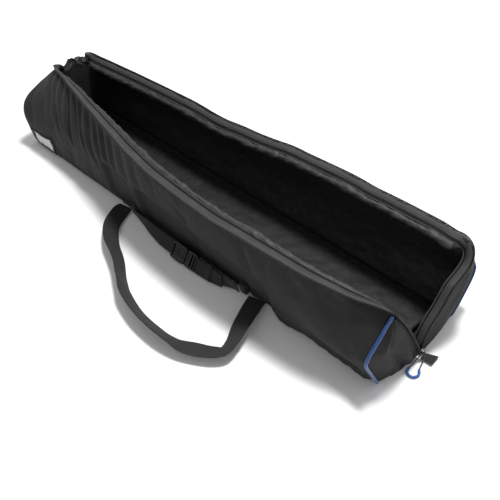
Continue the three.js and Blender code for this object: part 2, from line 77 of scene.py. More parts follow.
# ------------------------------------------------------------------ driving sizes, read from the CAD
b_lo, b_hi = cadbox("base_panel")
far_lo, far_hi = cadbox("far_end_panel")
HALF = -far_lo[0]                       # half length over the end panels
BASE_W = b_hi[1] + 1.0                  # half width at the base seams
FOLD = {-1: [(-HALF, -91, 94), (HALF, -133, 83.5)], 1: [(-HALF, 143.5, 76.8), (HALF, 136.6, 81.4)]}
RIM = {
    -1: [(-450, -8, 141), (-400, -31, 160), (-350, -47, 168), (-300, -62, 172), (-225, -82, 174), (-150, -99.5, 173),
         (-75, -117, 172), (0, -129, 170), (75, -134.6, 169), (150, -137, 168), (225, -133, 168), (300, -129.5, 168),
         (350, -124, 167), (400, -111, 163), (425, -97, 156), (450, -82, 147)],
    1: [(-450, 75.7, 141.5), (-300, 80, 148), (-150, 83.4, 152), (-110, 83.2, 152.2), (-77, 82.2, 151.5), (-45, 82.3, 152), (-10, 84.7, 154.6),
        (30, 86.1, 156.5), (71, 89.1, 159.7), (105, 92, 162.7), (140, 93, 164), (180, 94.2, 165), (236, 96.2, 166.4), (275, 95.4, 165.4),
        (316, 96.8, 166.1), (360, 97, 166.3), (400, 97.4, 166.4), (450, 93, 163.5)]}
FRONT, BACK = -1, 1
FLAP = {FRONT: "front_flap", BACK: "back_flap"}
NAME = {FRONT: "front", BACK: "back"}


def table(rows, x):
    """Catmull-Rom value of a table of rows (x, a, b, ...) at every x."""
    r = np.array(rows, float)
    x = np.atleast_1d(np.asarray(x, float))
    X, Y = r[:, 0], r[:, 1:]
    if len(r) == 2:
        t = ((x - X[0]) / (X[1] - X[0]))[:, None]
        return Y[0] + (Y[1] - Y[0]) * t
    m = np.empty_like(Y)
    m[1:-1] = (Y[2:] - Y[:-2]) / (X[2:] - X[:-2])[:, None]
    m[0] = (Y[1] - Y[0]) / (X[1] - X[0])
    m[-1] = (Y[-1] - Y[-2]) / (X[-1] - X[-2])
    i = np.clip(np.searchsorted(X, x) - 1, 0, len(X) - 2)
    h = (X[i + 1] - X[i])[:, None]
    t = ((x - X[i])[:, None]) / h
    t2, t3 = t * t, t * t * t
    return (2 * t3 - 3 * t2 + 1) * Y[i] + (t3 - 2 * t2 + t) * h * m[i] + (-2 * t3 + 3 * t2) * Y[i + 1] + (t3 - t2) * h * m[i + 1]


def unit(v):
    return v / np.maximum(np.linalg.norm(v, axis=-1, keepdims=True), 1e-12)


def sstep(a, b, x):
    t = np.clip((x - a) / (b - a), 0, 1)
    return t * t * (3 - 2 * t)


# ------------------------------------------------------------------ repeatable noise
def _hash(i, j, seed):
    i = np.asarray(i, np.int64); j = np.asarray(j, np.int64)
    n = (i * 73856093) ^ (j * 19349663) ^ (int(seed) * 83492791)
    n = (n ^ (n >> 13)) * 1274126177
    n = n & 0x7FFFFFFF
    n = (n ^ (n >> 16)) & 0xFFFFFF
    return n / float(0xFFFFFF) * 2 - 1


def vnoise(x, y, seed=0):
    x = np.asarray(x, float); y = np.asarray(y, float)
    i, j = np.floor(x), np.floor(y)
    fx, fy = x - i, y - j
    u, v = fx * fx * fx * (fx * (fx * 6 - 15) + 10), fy * fy * fy * (fy * (fy * 6 - 15) + 10)
    a, b = _hash(i, j, seed), _hash(i + 1, j, seed)
    c, d = _hash(i, j + 1, seed), _hash(i + 1, j + 1, seed)
    return (a * (1 - u) + b * u) * (1 - v) + (c * (1 - u) + d * u) * v


def fbm(x, y, seed=0, octaves=3):
    out, amp, tot = 0, 1.0, 0.0
    for k in range(octaves):
        out = out + amp * vnoise(np.asarray(x) * 2 ** k + 17.3 * k, np.asarray(y) * 2 ** k - 9.1 * k, seed + 31 * k)
        tot += amp
        amp *= 0.5
    return out / tot


def rnd(k, seed=0):
    return float(_hash(k, 7, seed))


# ------------------------------------------------------------------ mesh helpers
def new_obj(name, verts, faces, material, uv=None, smooth=True, fix=True):
    me = bpy.data.meshes.new(name)
    v = np.asarray(verts, float).reshape(-1, 3) * MM
    me.from_pydata(v.tolist(), [], [list(map(int, f)) for f in faces])
    if uv is not None:
        lay = me.uv_layers.new(name="UVMap")
        vi = np.empty(len(me.loops), np.int64)
        me.loops.foreach_get("vertex_index", vi)
        lay.data.foreach_set("uv", (np.asarray(uv, float).reshape(-1, 2)[vi] * MM).ravel())
    if fix:
        bm = bmesh.new(); bm.from_mesh(me)
        bmesh.ops.remove_doubles(bm, verts=bm.verts, dist=1e-6)
        bmesh.ops.recalc_face_normals(bm, faces=bm.faces)
        bm.to_mesh(me); bm.free()
    me.validate()
    me.update()
    if smooth:
        me.polygons.foreach_set("use_smooth", [True] * len(me.polygons))
    o = bpy.data.objects.new(name, me)
    bpy.context.scene.collection.objects.link(o)
    o.data.materials.append(material)
    return o


def grid_normals(P):
    du = np.gradient(P, axis=0); dv = np.gradient(P, axis=1)
    return unit(np.cross(du, dv))


def grid_faces(nu, nv, off=0, flip=False):
    i, j = np.meshgrid(np.arange(nu - 1), np.arange(nv - 1), indexing="ij")
    a = (i * nv + j).ravel() + off
    q = np.stack([a, a + nv, a + nv + 1, a + 1], 1)
    return q[:, ::-1] if flip else q


def sheet(name, P, th, material, uv=None, inward=None, smooth=True):
    """A closed sheet: the grid P (nu, nv, 3) and its copy th mm away along inward."""
    nu, nv = P.shape[:2]
    N = grid_normals(P) if inward is None else inward
    P2 = P + N * (th if np.isscalar(th) else np.asarray(th)[..., None])
    V = np.concatenate([P.reshape(-1, 3), P2.reshape(-1, 3)])
    n = nu * nv
    F = [grid_faces(nu, nv), grid_faces(nu, nv, n, True)]
    rim = []
    idx = np.arange(n).reshape(nu, nv)
    loop = list(idx[:, 0]) + list(idx[-1, 1:]) + list(idx[-2::-1, -1]) + list(idx[0, -2:0:-1])
    for k in range(len(loop)):
        a, b = loop[k], loop[(k + 1) % len(loop)]
        rim.append([b, a, a + n, b + n])
    F.append(np.array(rim))
    if uv is None:
        du = np.concatenate([np.zeros((1, nv)), np.cumsum(np.linalg.norm(np.diff(P, axis=0), axis=2), 0)])
        dv = np.concatenate([np.zeros((nu, 1)), np.cumsum(np.linalg.norm(np.diff(P, axis=1), axis=2), 1)], 1)
        uv = np.stack([du, dv], 2)
    U = np.concatenate([uv.reshape(-1, 2)] * 2)
    return new_obj(name, V, np.concatenate(F), material, U, smooth)


def catmull_curve(ctrl, n):
    """Centripetal Catmull-Rom through rows of any width, resampled evenly by length of the first three columns."""
    c = np.array(ctrl, float)
    p = np.concatenate([[2 * c[0] - c[1]], c, [2 * c[-1] - c[-2]]])
    out = []
    for k in range(1, len(p) - 2):
        P0, P1, P2, P3 = p[k - 1], p[k], p[k + 1], p[k + 2]
        d = lambda a, b: max(np.linalg.norm((b - a)[:3]), 1e-6) ** 0.5
        t0 = 0; t1 = t0 + d(P0, P1); t2 = t1 + d(P1, P2); t3 = t2 + d(P2, P3)
        t = np.linspace(t1, t2, 24, endpoint=False)[:, None]
        A1 = (t1 - t) / (t1 - t0) * P0 + (t - t0) / (t1 - t0) * P1
        A2 = (t2 - t) / (t2 - t1) * P1 + (t - t1) / (t2 - t1) * P2
        A3 = (t3 - t) / (t3 - t2) * P2 + (t - t2) / (t3 - t2) * P3
        B1 = (t2 - t) / (t2 - t0) * A1 + (t - t0) / (t2 - t0) * A2
        B2 = (t3 - t) / (t3 - t1) * A2 + (t - t1) / (t3 - t1) * A3
        out.append((t2 - t) / (t2 - t1) * B1 + (t - t1) / (t2 - t1) * B2)
    out = np.concatenate(out + [c[-1:]])
    return resample(out, n)


def resample(P, n):
    """n rows spaced evenly along the length of the first three (or all) columns."""
    k = min(3, P.shape[1])
    s = np.concatenate([[0], np.cumsum(np.linalg.norm(np.diff(P[:, :k], axis=0), axis=1))])
    t = np.linspace(0, s[-1], n)
    return np.stack([np.interp(t, s, P[:, j]) for j in range(P.shape[1])], 1)


def length_of(P):
    return np.concatenate([[0], np.cumsum(np.linalg.norm(np.diff(P[:, :3], axis=0), axis=1))])


def tangents(P):
    return unit(np.gradient(P, axis=0))


def sweep(name, C, U, D, prof, material, closed_ends=True, uvscale=1.0, vary=None, smooth=True):
    """Sweeps a closed profile of (u, d) points along the centre points C with axes U and D. vary(i, prof) may change it."""
    n, m = len(C), len(prof)
    prof = np.array(prof, float)
    V = np.empty((n, m, 3))
    for i in range(n):
        pr = prof if vary is None else vary(i, prof)
        V[i] = C[i] + np.outer(pr[:, 0], U[i]) + np.outer(pr[:, 1], D[i])
    F = []
    for i in range(n - 1):
        for j in range(m):
            k = (j + 1) % m
            F.append([i * m + j, i * m + k, (i + 1) * m + k, (i + 1) * m + j])
    if closed_ends:
        F.append(list(range(m - 1, -1, -1)))
        F.append([(n - 1) * m + j for j in range(m)])
    s = length_of(C)
    per = np.concatenate([[0], np.cumsum(np.linalg.norm(np.diff(np.concatenate([prof, prof[:1]]), axis=0), axis=1))])
    uv = np.stack([np.repeat(s[:, None], m, 1), np.repeat(per[None, :m], n, 0)], 2) * uvscale
    return new_obj(name, V.reshape(-1, 3), F, material, uv.reshape(-1, 2), smooth)


def ellipse(ru, rd, n, cu=0.0, cd=0.0):
    a = np.linspace(0, 2 * np.pi, n, endpoint=False)
    return np.stack([cu + ru * np.cos(a), cd + rd * np.sin(a)], 1)


def rounded_rect(w, h, r, k=3):
    """Closed profile of a w by h rectangle, corners rounded by r."""
    out = []
    for cx, cy, a0 in ((w / 2 - r, h / 2 - r, 0), (-w / 2 + r, h / 2 - r, 90), (-w / 2 + r, -h / 2 + r, 180), (w / 2 - r, -h / 2 + r, 270)):
        for a in np.linspace(a0, a0 + 90, k + 1):
            out.append((cx + r * math.cos(math.radians(a)), cy + r * math.sin(math.radians(a))))
    return np.array(out)


def join_parts(name, parts, material, uv=True, smooth=True):
    """One object from many (verts, faces, uv) pieces."""
    V, F, U, off = [], [], [], 0
    for v, f, u in parts:
        V.append(v); U.append(u)
        F += [[int(x) + off for x in q] for q in f]
        off += len(v)
    return new_obj(name, np.concatenate(V), F, material, np.concatenate(U) if uv else None, smooth, fix=False)


# ------------------------------------------------------------------ materials
class Tree:
    def __init__(self, name):
        self.m = bpy.data.materials.new(name)
        self.m.use_nodes = True
        self.t = self.m.node_tree
        self.t.nodes.clear()
        self.out = self.t.nodes.new("ShaderNodeOutputMaterial")
        self.b = self.t.nodes.new("ShaderNodeBsdfPrincipled")
        self.t.links.new(self.b.outputs[0], self.out.inputs[0])

    def n(self, kind, **kw):
        nd = self.t.nodes.new(kind)
        for k, v in kw.items():
            setattr(nd, k, v)
        return nd

    def link(self, a, b):
        self.t.links.new(a, b)

    def val(self, sock, v):
        if hasattr(v, "is_output") or hasattr(v, "links"):
            self.link(v, sock)
        else:
            sock.default_value = v

    def math(self, op, a, b=None, c=None, clamp=False):
        nd = self.n("ShaderNodeMath", operation=op, use_clamp=clamp)
        self.val(nd.inputs[0], a)
        if b is not None: self.val(nd.inputs[1], b)
        if c is not None: self.val(nd.inputs[2], c)
        return nd.outputs[0]

    def uv_mm(self):
        """(u, v) in millimetres."""
        tc = self.n("ShaderNodeTexCoord")
        sp = self.n("ShaderNodeSeparateXYZ")
        self.link(tc.outputs["UV"], sp.inputs[0])
        return self.math("MULTIPLY", sp.outputs[0], 1000.0), self.math("MULTIPLY", sp.outputs[1], 1000.0)

    def obj(self):
        return self.n("ShaderNodeTexCoord").outputs["Object"]

    def noise(self, scale, detail=3.0, rough=0.5, vec=None, distortion=0.0):
        nd = self.n("ShaderNodeTexNoise")
        nd.inputs["Scale"].default_value = scale
        nd.inputs["Detail"].default_value = detail
        nd.inputs["Roughness"].default_value = rough
        nd.inputs["Distortion"].default_value = distortion
        self.link(vec if vec is not None else self.obj(), nd.inputs["Vector"])
        return nd.outputs["Fac"]

    def wave(self, u, pitch, phase=0.0):
        """0..1 sine of coordinate u (mm) with that pitch."""
        s = self.math("SINE", self.math("MULTIPLY_ADD", u, 2 * math.pi / pitch, phase))
        return self.math("MULTIPLY_ADD", s, 0.5, 0.5)

    def mix(self, fac, a, b):
        nd = self.n("ShaderNodeMix", data_type="RGBA")
        self.val(nd.inputs[0], fac)
        for k, v in ((6, a), (7, b)):
            if hasattr(v, "links"): self.link(v, nd.inputs[k])
            else: nd.inputs[k].default_value = (*v, 1.0) if len(v) == 3 else v
        return nd.outputs[2]

    def ramp(self, fac, stops):
        nd = self.n("ShaderNodeValToRGB")
        self.link(fac, nd.inputs[0])
        el = nd.color_ramp.elements
        while len(el) < len(stops): el.new(0.5)
        for e, (p, c) in zip(el, stops):
            e.position = p
            e.color = (*c, 1.0) if len(c) == 3 else c
        return nd.outputs[0]

    def bump(self, height, strength, dist, normal=None):
        nd = self.n("ShaderNodeBump")
        nd.inputs["Strength"].default_value = strength
        nd.inputs["Distance"].default_value = dist
        self.link(height, nd.inputs["Height"])
        if normal is not None: self.link(normal, nd.inputs["Normal"])
        return nd.outputs[0]

    def done(self, color, rough, normal=None, metallic=0.0, sheen=0.0, sheen_rough=0.4, spec=0.5, **extra):
        b = self.b
        if hasattr(color, "links"): self.link(color, b.inputs["Base Color"])
        else: b.inputs["Base Color"].default_value = (*color, 1.0)
        self.val(b.inputs["Roughness"], rough)
        b.inputs["Metallic"].default_value = metallic
        b.inputs["Specular IOR Level"].default_value = spec
        if sheen:
            b.inputs["Sheen Weight"].default_value = sheen
            b.inputs["Sheen Roughness"].default_value = sheen_rough
        if normal is not None: self.link(normal, b.inputs["Normal"])
        for k, v in extra.items():
            b.inputs[k].default_value = v
        return self.m


def woven(name, base, dark, light, pitch=1.5, sheen=0.25, rough=0.82, vary=0.35):
    t = Tree(name)
    u, v = t.uv_mm()
    a, b = t.wave(u, pitch), t.wave(v, pitch)
    w = t.math("MULTIPLY", t.math("SUBTRACT", a, 0.5), t.math("SUBTRACT", b, 0.5))
    weave = t.math("MULTIPLY_ADD", w, 2.0, 0.5)                      # basket of over and under threads
    slub = t.noise(900.0, 2.0, 0.6)
    mott = t.noise(14.0, 4.0, 0.6)
    big = t.noise(4.0, 2.0, 0.5)
    c1 = t.mix(weave, dark, base)
    c2 = t.mix(t.math("MULTIPLY", slub, 0.5), c1, light)
    f = t.math("MULTIPLY", t.math("ADD", t.math("SUBTRACT", mott, 0.5), t.math("SUBTRACT", big, 0.5)), vary, clamp=False)
    c3 = t.mix(t.math("ADD", f, 0.12, clamp=True), c2, light)
    n1 = t.bump(weave, 0.55, 0.0003)
    n2 = t.bump(mott, 0.10, 0.002, n1)
    r = t.math("MULTIPLY_ADD", slub, 0.12, rough - 0.06)
    return t.done(c3, r, n2, sheen=sheen, sheen_rough=0.45, spec=0.18)


def satin(name, base, light, scale=60.0):
    """Thin crinkled lining; its crinkle crests are painted lighter as a sheen highlight."""
    t = Tree(name)
    u, v = t.uv_mm()
    n = t.noise(scale, 5.0, 0.6, distortion=0.6)
    cr = t.noise(scale * 2.4, 3.0, 0.55, distortion=1.2)
    fold = t.math("ABSOLUTE", t.math("SUBTRACT", cr, 0.5))
    ridge = t.math("SUBTRACT", 1.0, t.math("MULTIPLY", fold, 6.0, clamp=True))
    rip = t.math("MAXIMUM", t.math("GREATER_THAN", t.wave(u, 5.2), 0.985), t.math("GREATER_THAN", t.wave(v, 5.2), 0.985))
    # painted highlight: the crinkle crests (ridge) are mixed towards the light colour as painted sheen; the ripstop
    # grid (rip) on the next line is the fabric's own pattern
    c = t.mix(t.math("MULTIPLY", ridge, 0.35), base, light)
    c = t.mix(t.math("MULTIPLY", rip, 0.25), c, light)
    n1 = t.bump(n, 0.5, 0.0016)
    n2 = t.bump(ridge, 0.25, 0.0006, n1)
    thread = t.math("MULTIPLY", t.wave(u, 0.7), t.wave(v, 0.7))
    n3 = t.bump(thread, 0.2, 0.0001, n2)
    return t.done(c, t.math("MULTIPLY_ADD", cr, 0.25, 0.42), n3, sheen=0.04, spec=0.32)


def webbing(name, base, dark, light, rib=1.9, across_u=True):
    """Ribbed webbing: ribs run across the strap, a fine chevron within each."""
    t = Tree(name)
    u, v = t.uv_mm()
    zig = t.math("MULTIPLY", t.math("PINGPONG", v, 3.2), 0.55)
    ribs = t.wave(t.math("ADD", u, zig), rib)
    yarn = t.wave(v, 1.1)
    h = t.math("MULTIPLY_ADD", ribs, 0.7, t.math("MULTIPLY", yarn, 0.3))
    mott = t.noise(35.0, 3.0, 0.6)
    fuzz = t.noise(1400.0, 2.0, 0.6)
    c = t.mix(h, dark, base)
    c = t.mix(t.math("MULTIPLY", fuzz, 0.45), c, light)
    c = t.mix(t.math("MULTIPLY", mott, 0.25), c, light)
    n = t.bump(h, 0.6, 0.00045)
    return t.done(c, t.math("MULTIPLY_ADD", fuzz, 0.15, 0.66), n, sheen=0.08, spec=0.28)


def tape_mat(name, base, dark, light):
    t = Tree(name)
    u, v = t.uv_mm()
    twill = t.wave(t.math("ADD", u, v), 1.0)
    rows = t.wave(v, 2.4)
    fuzz = t.noise(1100.0, 2.0, 0.6)
    mott = t.noise(22.0, 3.0, 0.6)
    c = t.mix(twill, dark, base)
    c = t.mix(t.math("MULTIPLY", t.math("ADD", fuzz, mott), 0.3), c, light)
    n = t.bump(t.math("MULTIPLY_ADD", twill, 0.6, t.math("MULTIPLY", rows, 0.4)), 0.5, 0.0003)
    return t.done(c, 0.8, n, sheen=0.06, spec=0.2)


def plastic(name, base, light, rough=0.38, grain=900.0):
    t = Tree(name)
    g = t.noise(grain, 3.0, 0.5)
    wear = t.noise(40.0, 4.0, 0.6)
    scratch = t.noise(220.0, 2.0, 0.4, distortion=2.0)
    c = t.mix(t.math("MULTIPLY", wear, 0.3), base, light)
    n = t.bump(g, 0.25, 0.00008)
    r = t.math("ADD", t.math("MULTIPLY_ADD", wear, 0.18, rough - 0.09), t.math("MULTIPLY", scratch, 0.08))
    return t.done(c, r, n, spec=0.5)


def metal(name, base, light, rough=0.35):
    t = Tree(name)
    g = t.noise(700.0, 2.0, 0.5)
    wear = t.noise(160.0, 4.0, 0.65)
    c = t.mix(t.math("MULTIPLY", wear, 0.6), base, light)
    n = t.bump(g, 0.2, 0.00006)
    return t.done(c, t.math("MULTIPLY_ADD", wear, 0.3, rough - 0.12), n, metallic=0.9)


def cordmat(name, base, light, pitch=1.6):
    t = Tree(name)
    u, v = t.uv_mm()
    br = t.wave(t.math("ADD", u, t.math("MULTIPLY", v, 0.8)), pitch)
    br2 = t.wave(t.math("SUBTRACT", u, t.math("MULTIPLY", v, 0.8)), pitch)
    h = t.math("MAXIMUM", br, br2)
    c = t.mix(h, base, light)
    return t.done(c, 0.75, t.bump(h, 0.5, 0.0002), sheen=0.2)


def rubbery(name, base, light, dark, rough=0.42):
    t = Tree(name)
    g = t.noise(500.0, 3.0, 0.5)
    mott = t.noise(60.0, 3.0, 0.6)
    c = t.mix(t.math("MULTIPLY", mott, 0.5), base, light)
    c = t.mix(t.math("MULTIPLY", g, 0.2), c, dark)
    return t.done(c, t.math("MULTIPLY_ADD", mott, 0.15, rough - 0.05), t.bump(g, 0.2, 0.0001), sheen=0.1)


M_SHELL = woven("shell_weave", (0.0150, 0.0150, 0.0157), (0.0070, 0.0070, 0.0075), (0.033, 0.033, 0.035), sheen=0.05, vary=0.5)
M_BASE = woven("base_weave", (0.015, 0.015, 0.016), (0.007, 0.007, 0.0075), (0.028, 0.028, 0.030), pitch=1.9, rough=0.9, sheen=0.03)
M_LINING = satin("lining_satin", (0.0075, 0.0075, 0.008), (0.034, 0.034, 0.036))
# painted light: the rim roll uses a lighter copy of the lining satin, standing in for the light falling on the roll's
# up-facing top
M_ROLL_PAINTED_LIT = satin("rim_roll_satin", (0.018, 0.018, 0.0185), (0.075, 0.075, 0.078), scale=95.0)
M_WEB = webbing("webbing_rib", (0.019, 0.019, 0.0195), (0.007, 0.007, 0.0075), (0.042, 0.042, 0.043))
M_STRAP = webbing("strap_rib", (0.016, 0.016, 0.0165), (0.006, 0.006, 0.0065), (0.036, 0.036, 0.037), rib=1.5)
M_TAPE = tape_mat("zip_tape_twill", (0.046, 0.046, 0.048), (0.022, 0.022, 0.023), (0.085, 0.085, 0.088))
M_BIND = tape_mat("binding_twill", (0.007, 0.007, 0.0075), (0.003, 0.003, 0.0035), (0.016, 0.016, 0.017))
M_EDGE = tape_mat("edge_piping_twill", (0.060, 0.060, 0.062), (0.030, 0.030, 0.032), (0.10, 0.10, 0.105))
M_COIL = plastic("coil_plastic", (0.011, 0.011, 0.0115), (0.030, 0.030, 0.031), rough=0.32)
M_THREAD = cordmat("thread", (0.010, 0.010, 0.0105), (0.030, 0.030, 0.031), pitch=0.6)
M_PIPE = rubbery("piping_blue", (0.007, 0.036, 0.150), (0.022, 0.105, 0.34), (0.004, 0.018, 0.08), rough=0.30)
M_BUCKLE = plastic("buckle_plastic", (0.007, 0.007, 0.0075), (0.020, 0.020, 0.021), rough=0.26)
M_FRAME = plastic("window_frame_vinyl", (0.008, 0.008, 0.0085), (0.022, 0.022, 0.023), rough=0.5)
M_METAL = metal("slider_metal", (0.09, 0.09, 0.093), (0.26, 0.26, 0.27))
M_CORD = cordmat("pull_cord_braid", (0.010, 0.010, 0.0105), (0.04, 0.04, 0.041))
M_TUBE = rubbery("pull_tube_blue", (0.010, 0.060, 0.28), (0.030, 0.13, 0.43), (0.006, 0.03, 0.14))


def card_mat():
    t = Tree("card_paper")
    g = t.noise(800.0, 4.0, 0.6)
    m = t.noise(30.0, 3.0, 0.6)
    c = t.mix(t.math("MULTIPLY", m, 0.4), (0.52, 0.53, 0.52), (0.62, 0.62, 0.61))
    return t.done(c, 0.6, t.bump(g, 0.15, 0.0001))


def film_mat():
    t = Tree("clear_film")
    g = t.noise(55.0, 3.0, 0.5)
    m = t.done((0.9, 0.91, 0.92), t.math("MULTIPLY_ADD", g, 0.1, 0.08), t.bump(g, 0.3, 0.0006), spec=0.6)
    m.node_tree.nodes["Principled BSDF"].inputs["Alpha"].default_value = 0.22
    return m


M_CARD, M_FILM = card_mat(), film_mat()


def floor_mat():
    t = Tree("floor_paper")
    g = t.noise(3.0, 2.0, 0.5)
    c = t.mix(t.math("MULTIPLY", g, 0.3), (0.93, 0.93, 0.935), (0.95, 0.95, 0.955))
    return t.done(c, 0.6, None, spec=0.1)


# ------------------------------------------------------------------ the cross sections
def frames(side, x):
    """Corner B, fold C, rim T and the wall's and flap's directions, as CAD has them, at every x."""
    s = side
    x = np.atleast_1d(np.asarray(x, float))
    B = np.stack([np.full(len(x), s * BASE_W), np.zeros(len(x))], 1)
    C, T = table(FOLD[side], x), table(RIM[side], x)
    w, f = unit(C - B), unit(T - C)
    inn = lambda e: np.stack([e[:, 1], -e[:, 0]], 1) * (-s)
    return B, C, T, w, f, inn(w), inn(f)


def polyline(side, x, hem=3.5):
    """Undisplaced outer curve of the side at every x, base to rim: (nx, k, 2)."""
    B, C, T, w, f, nw, nf = frames(side, x)
    n = len(B)
    rb = 10.0
    rf = np.interp(x, [-450, -300, 300, 420, 450], [30, 56, 60, 26, 12])[:, None]
    A = np.stack([np.full(n, side * 60.0), np.full(n, 1.0)], 1)
    T2 = T - f * hem
    b0 = unit(A - B)
    push = np.interp(x, [-450, -380, -300, 300, 450], [13.0, 6.0, 2.0, 2.0, 2.0] if side < 0 else [2.0] * 5)[:, None]
    Cp = C - unit(nw + nf) * push * 0.6                # the rounded fold keeps its measured reach
    out = []
    for t in np.linspace(0, 1, 5)[:-1]: out.append(A + (B + b0 * rb - A) * t)
    for t in np.linspace(0, 1, 8)[:-1]:
        out.append((1 - t) ** 2 * (B + b0 * rb) + 2 * t * (1 - t) * B + t * t * (B + w * rb))
    w2, f2 = unit(Cp - B), unit(T2 - Cp)
    for t in np.linspace(0, 1, 14)[:-1]: out.append((B + w * rb) + ((Cp - w2 * rf) - (B + w * rb)) * t)
    for t in np.linspace(0, 1, 12)[:-1]:
        out.append((1 - t) ** 2 * (Cp - w2 * rf) + 2 * t * (1 - t) * Cp + t * t * (Cp + f2 * rf * 0.8))
    for t in np.linspace(0, 1, 14): out.append((Cp + f2 * rf * 0.8) + (T2 - (Cp + f2 * rf * 0.8)) * t)
    return np.stack(out, 1)


def side_grid(side, xs, ns, hem=3.5):
    """(P, N, S): grid of points, inward normals and lengths above the base corner."""
    Y = polyline(side, xs, hem)
    nx = len(xs)
    P = np.empty((nx, ns, 2)); S = np.empty((nx, ns))
    for i in range(nx):
        r = resample(Y[i], ns)
        P[i] = r
        l = np.concatenate([[0], np.cumsum(np.linalg.norm(np.diff(r, axis=0), axis=1))])
        S[i] = l - (BASE_W - 60.0)
    t = np.gradient(P, axis=1)
    t = unit(t)
    N = np.stack([t[..., 1], -t[..., 0]], 2) * (-side)
    X = np.repeat(np.asarray(xs, float)[:, None], ns, 1)
    P3 = np.concatenate([X[..., None], P], 2)
    N3 = np.concatenate([np.zeros_like(X)[..., None], N], 2)
    return P3, N3, S


def ridge(x, c, w):
    return np.exp(-((x - c) / w) ** 2)


def flat_zone(side, X, S):
    """1 where the cinch strap and the handles' legs come up against the side when they are lifted."""
    w = sstep(-178, -160, X) * sstep(-88, -106, X) + sstep(166, 184, X) * sstep(256, 238, X)
    if side == FRONT: w = np.maximum(w, sstep(-80, -55, X) * sstep(206, 182, X))
    return np.clip(w, 0, 1) * sstep(6, 18, S) * sstep(104, 82, S)


def fold_field(side, X, S, L):
    """How far the outer fabric stands in (positive) or out of the plain section, mm."""
    up = S / np.maximum(L, 1)                       # 0 at the base, 1 at the rim
    d = -3.2 * np.sin(np.clip(up, 0, 1) * np.pi) ** 0.8           # padding swells
    d = d + 0.9 * fbm(X / 55.0, S / 34.0, 5 + side, 3) + 0.35 * fbm(X / 15.0, S / 15.0, 9 + side, 2)
    if side == FRONT:
        # soft puckers hanging from the rim where the flap is pulled in: (x at the top, lean, top, bottom, depth, width)
        for k, (c, lean, hi, lo, a, w) in enumerate([
                (-415, 0.95, 1.00, 0.66, 1.7, 9.0), (-384, 0.75, 0.97, 0.58, 2.7, 8.5), (-352, 0.62, 0.99, 0.72, 2.3, 7.0), (-322, 0.55, 0.96, 0.52, 3.1, 8.0),
                (-291, 0.62, 0.99, 0.62, 2.4, 7.0), (-262, 0.45, 0.95, 0.56, 3.0, 7.5), (-232, 0.50, 0.97, 0.44, 2.6, 8.5), (-199, 0.38, 0.93, 0.60, 1.9, 7.0),
                (-176, 0.42, 0.96, 0.40, 2.3, 8.0), (-141, 0.30, 0.94, 0.48, 1.8, 8.0), (-104, 0.22, 0.95, 0.52, 1.2, 9.0), (-60, 0.15, 0.95, 0.6, 0.8, 10.0)]):
            line = c + lean * (0.97 * L - S) + (2.6 + 1.5 * rnd(k, 3)) * np.sin(S / (19.0 + 4 * rnd(k, 5)) + 2.1 * k)
            env = sstep(lo - 0.20, lo + 0.16, up) * (1 - 0.75 * sstep(hi - 0.14, hi + 0.02, up)) * (0.8 + 0.35 * vnoise(S / 22.0, k * 3.3, 8))
            ww = w * (0.75 + 0.5 * sstep(0.3, 0.9, up))
            d = d + env * a * (1.65 * ridge(X, line, 0.78 * ww) - 0.85 * ridge(X, line + 1.7 * ww, ww * 1.15) - 0.55 * ridge(X, line - 1.7 * ww, ww * 1.15))
        # the padding swells at the far corner, and the panel bellies out over its base seam near the zip end
        d = d - 3.0 * sstep(-330, -445, X) * np.sin(np.clip(up, 0, 1) * np.pi) ** 0.7
        d = d - 7.0 * sstep(222, 262, X) * sstep(450, 428, X) * np.exp(-((S - 14) / 17.0) ** 2)
        # soft dents behind the strap, and creases pulling from the handle's near foot
        d = d + 4.2 * ridge(X, 62 + 0.22 * S, 13) * np.exp(-((S - 62) / 30.0) ** 2)
        d = d + 2.6 * ridge(X, 104 + 0.1 * S, 12) * np.exp(-((S - 52) / 24.0) ** 2)
        d = d - 2.0 * ridge(X, 84 + 0.15 * S, 12) * np.exp(-((S - 60) / 30.0) ** 2)
        d = d + 3.4 * np.exp(-((S - (6 + 0.34 * (X - 215))) / 6.0) ** 2) * sstep(214, 226, X) * sstep(300, 262, X)
        d = d - 2.6 * np.exp(-((S - (20 + 0.30 * (X - 215))) / 8.0) ** 2) * sstep(214, 232, X) * sstep(310, 262, X)
        d = d - 3.5 * ridge(X, 276, 26) * np.exp(-((S - 14) / 22.0) ** 2)
        d = d + 1.6 * ridge(X, -133, 16) * np.exp(-((S - 22) / 16.0) ** 2)
        d = d + 1.8 * ridge(X, 380 + 0.25 * (S - 90), 12) * sstep(0.35, 0.6, up)
    else:
        cs = [-415, -381, -330, -243, -205, -96, -34, 84, 131, 245, 300, 384]
        for k, c in enumerate(cs):
            a = 0.9 + 0.9 * rnd(k, 13)
            line = c - (0.16 + 0.30 * rnd(k, 17)) * (L - S) + 5.0 * np.sin(S / (22.0 + 6 * rnd(k, 19)) + 2 * k)
            w = 10.0 + 5.0 * rnd(k, 16)
            lo = 0.34 + 0.26 * rnd(k, 18)
            d = d + a * (ridge(X, line, w) - 0.7 * ridge(X, line - 1.7 * w, w)) * sstep(lo - 0.2, lo + 0.3, up)
    w = flat_zone(side, X, S)
    d = d * (1 - w) + (2.6 + 0.30 * d) * w
    # puckers along the stitched rim and the base seam
    d = d + 0.45 * np.sin(X / 2.9 + 1.5 * np.sin(X / 17.0)) * sstep(0.90, 1.0, up)
    d = d + 0.35 * np.sin(X / 3.3 + 1.2 * np.sin(X / 23.0)) * sstep(0.14, 0.03, up)
    return d


XS = np.linspace(-HALF, HALF - 2.5, 361)
NS = 76
END_R = 6.0                                     # the far corners are rounded over this far


def end_round(X):
    """The side turns in round the far corner."""
    t = np.clip((X + HALF) / END_R, 0, 1)
    return END_R * (1 - np.sqrt(np.clip(1 - (1 - t) ** 2, 0, 1)))


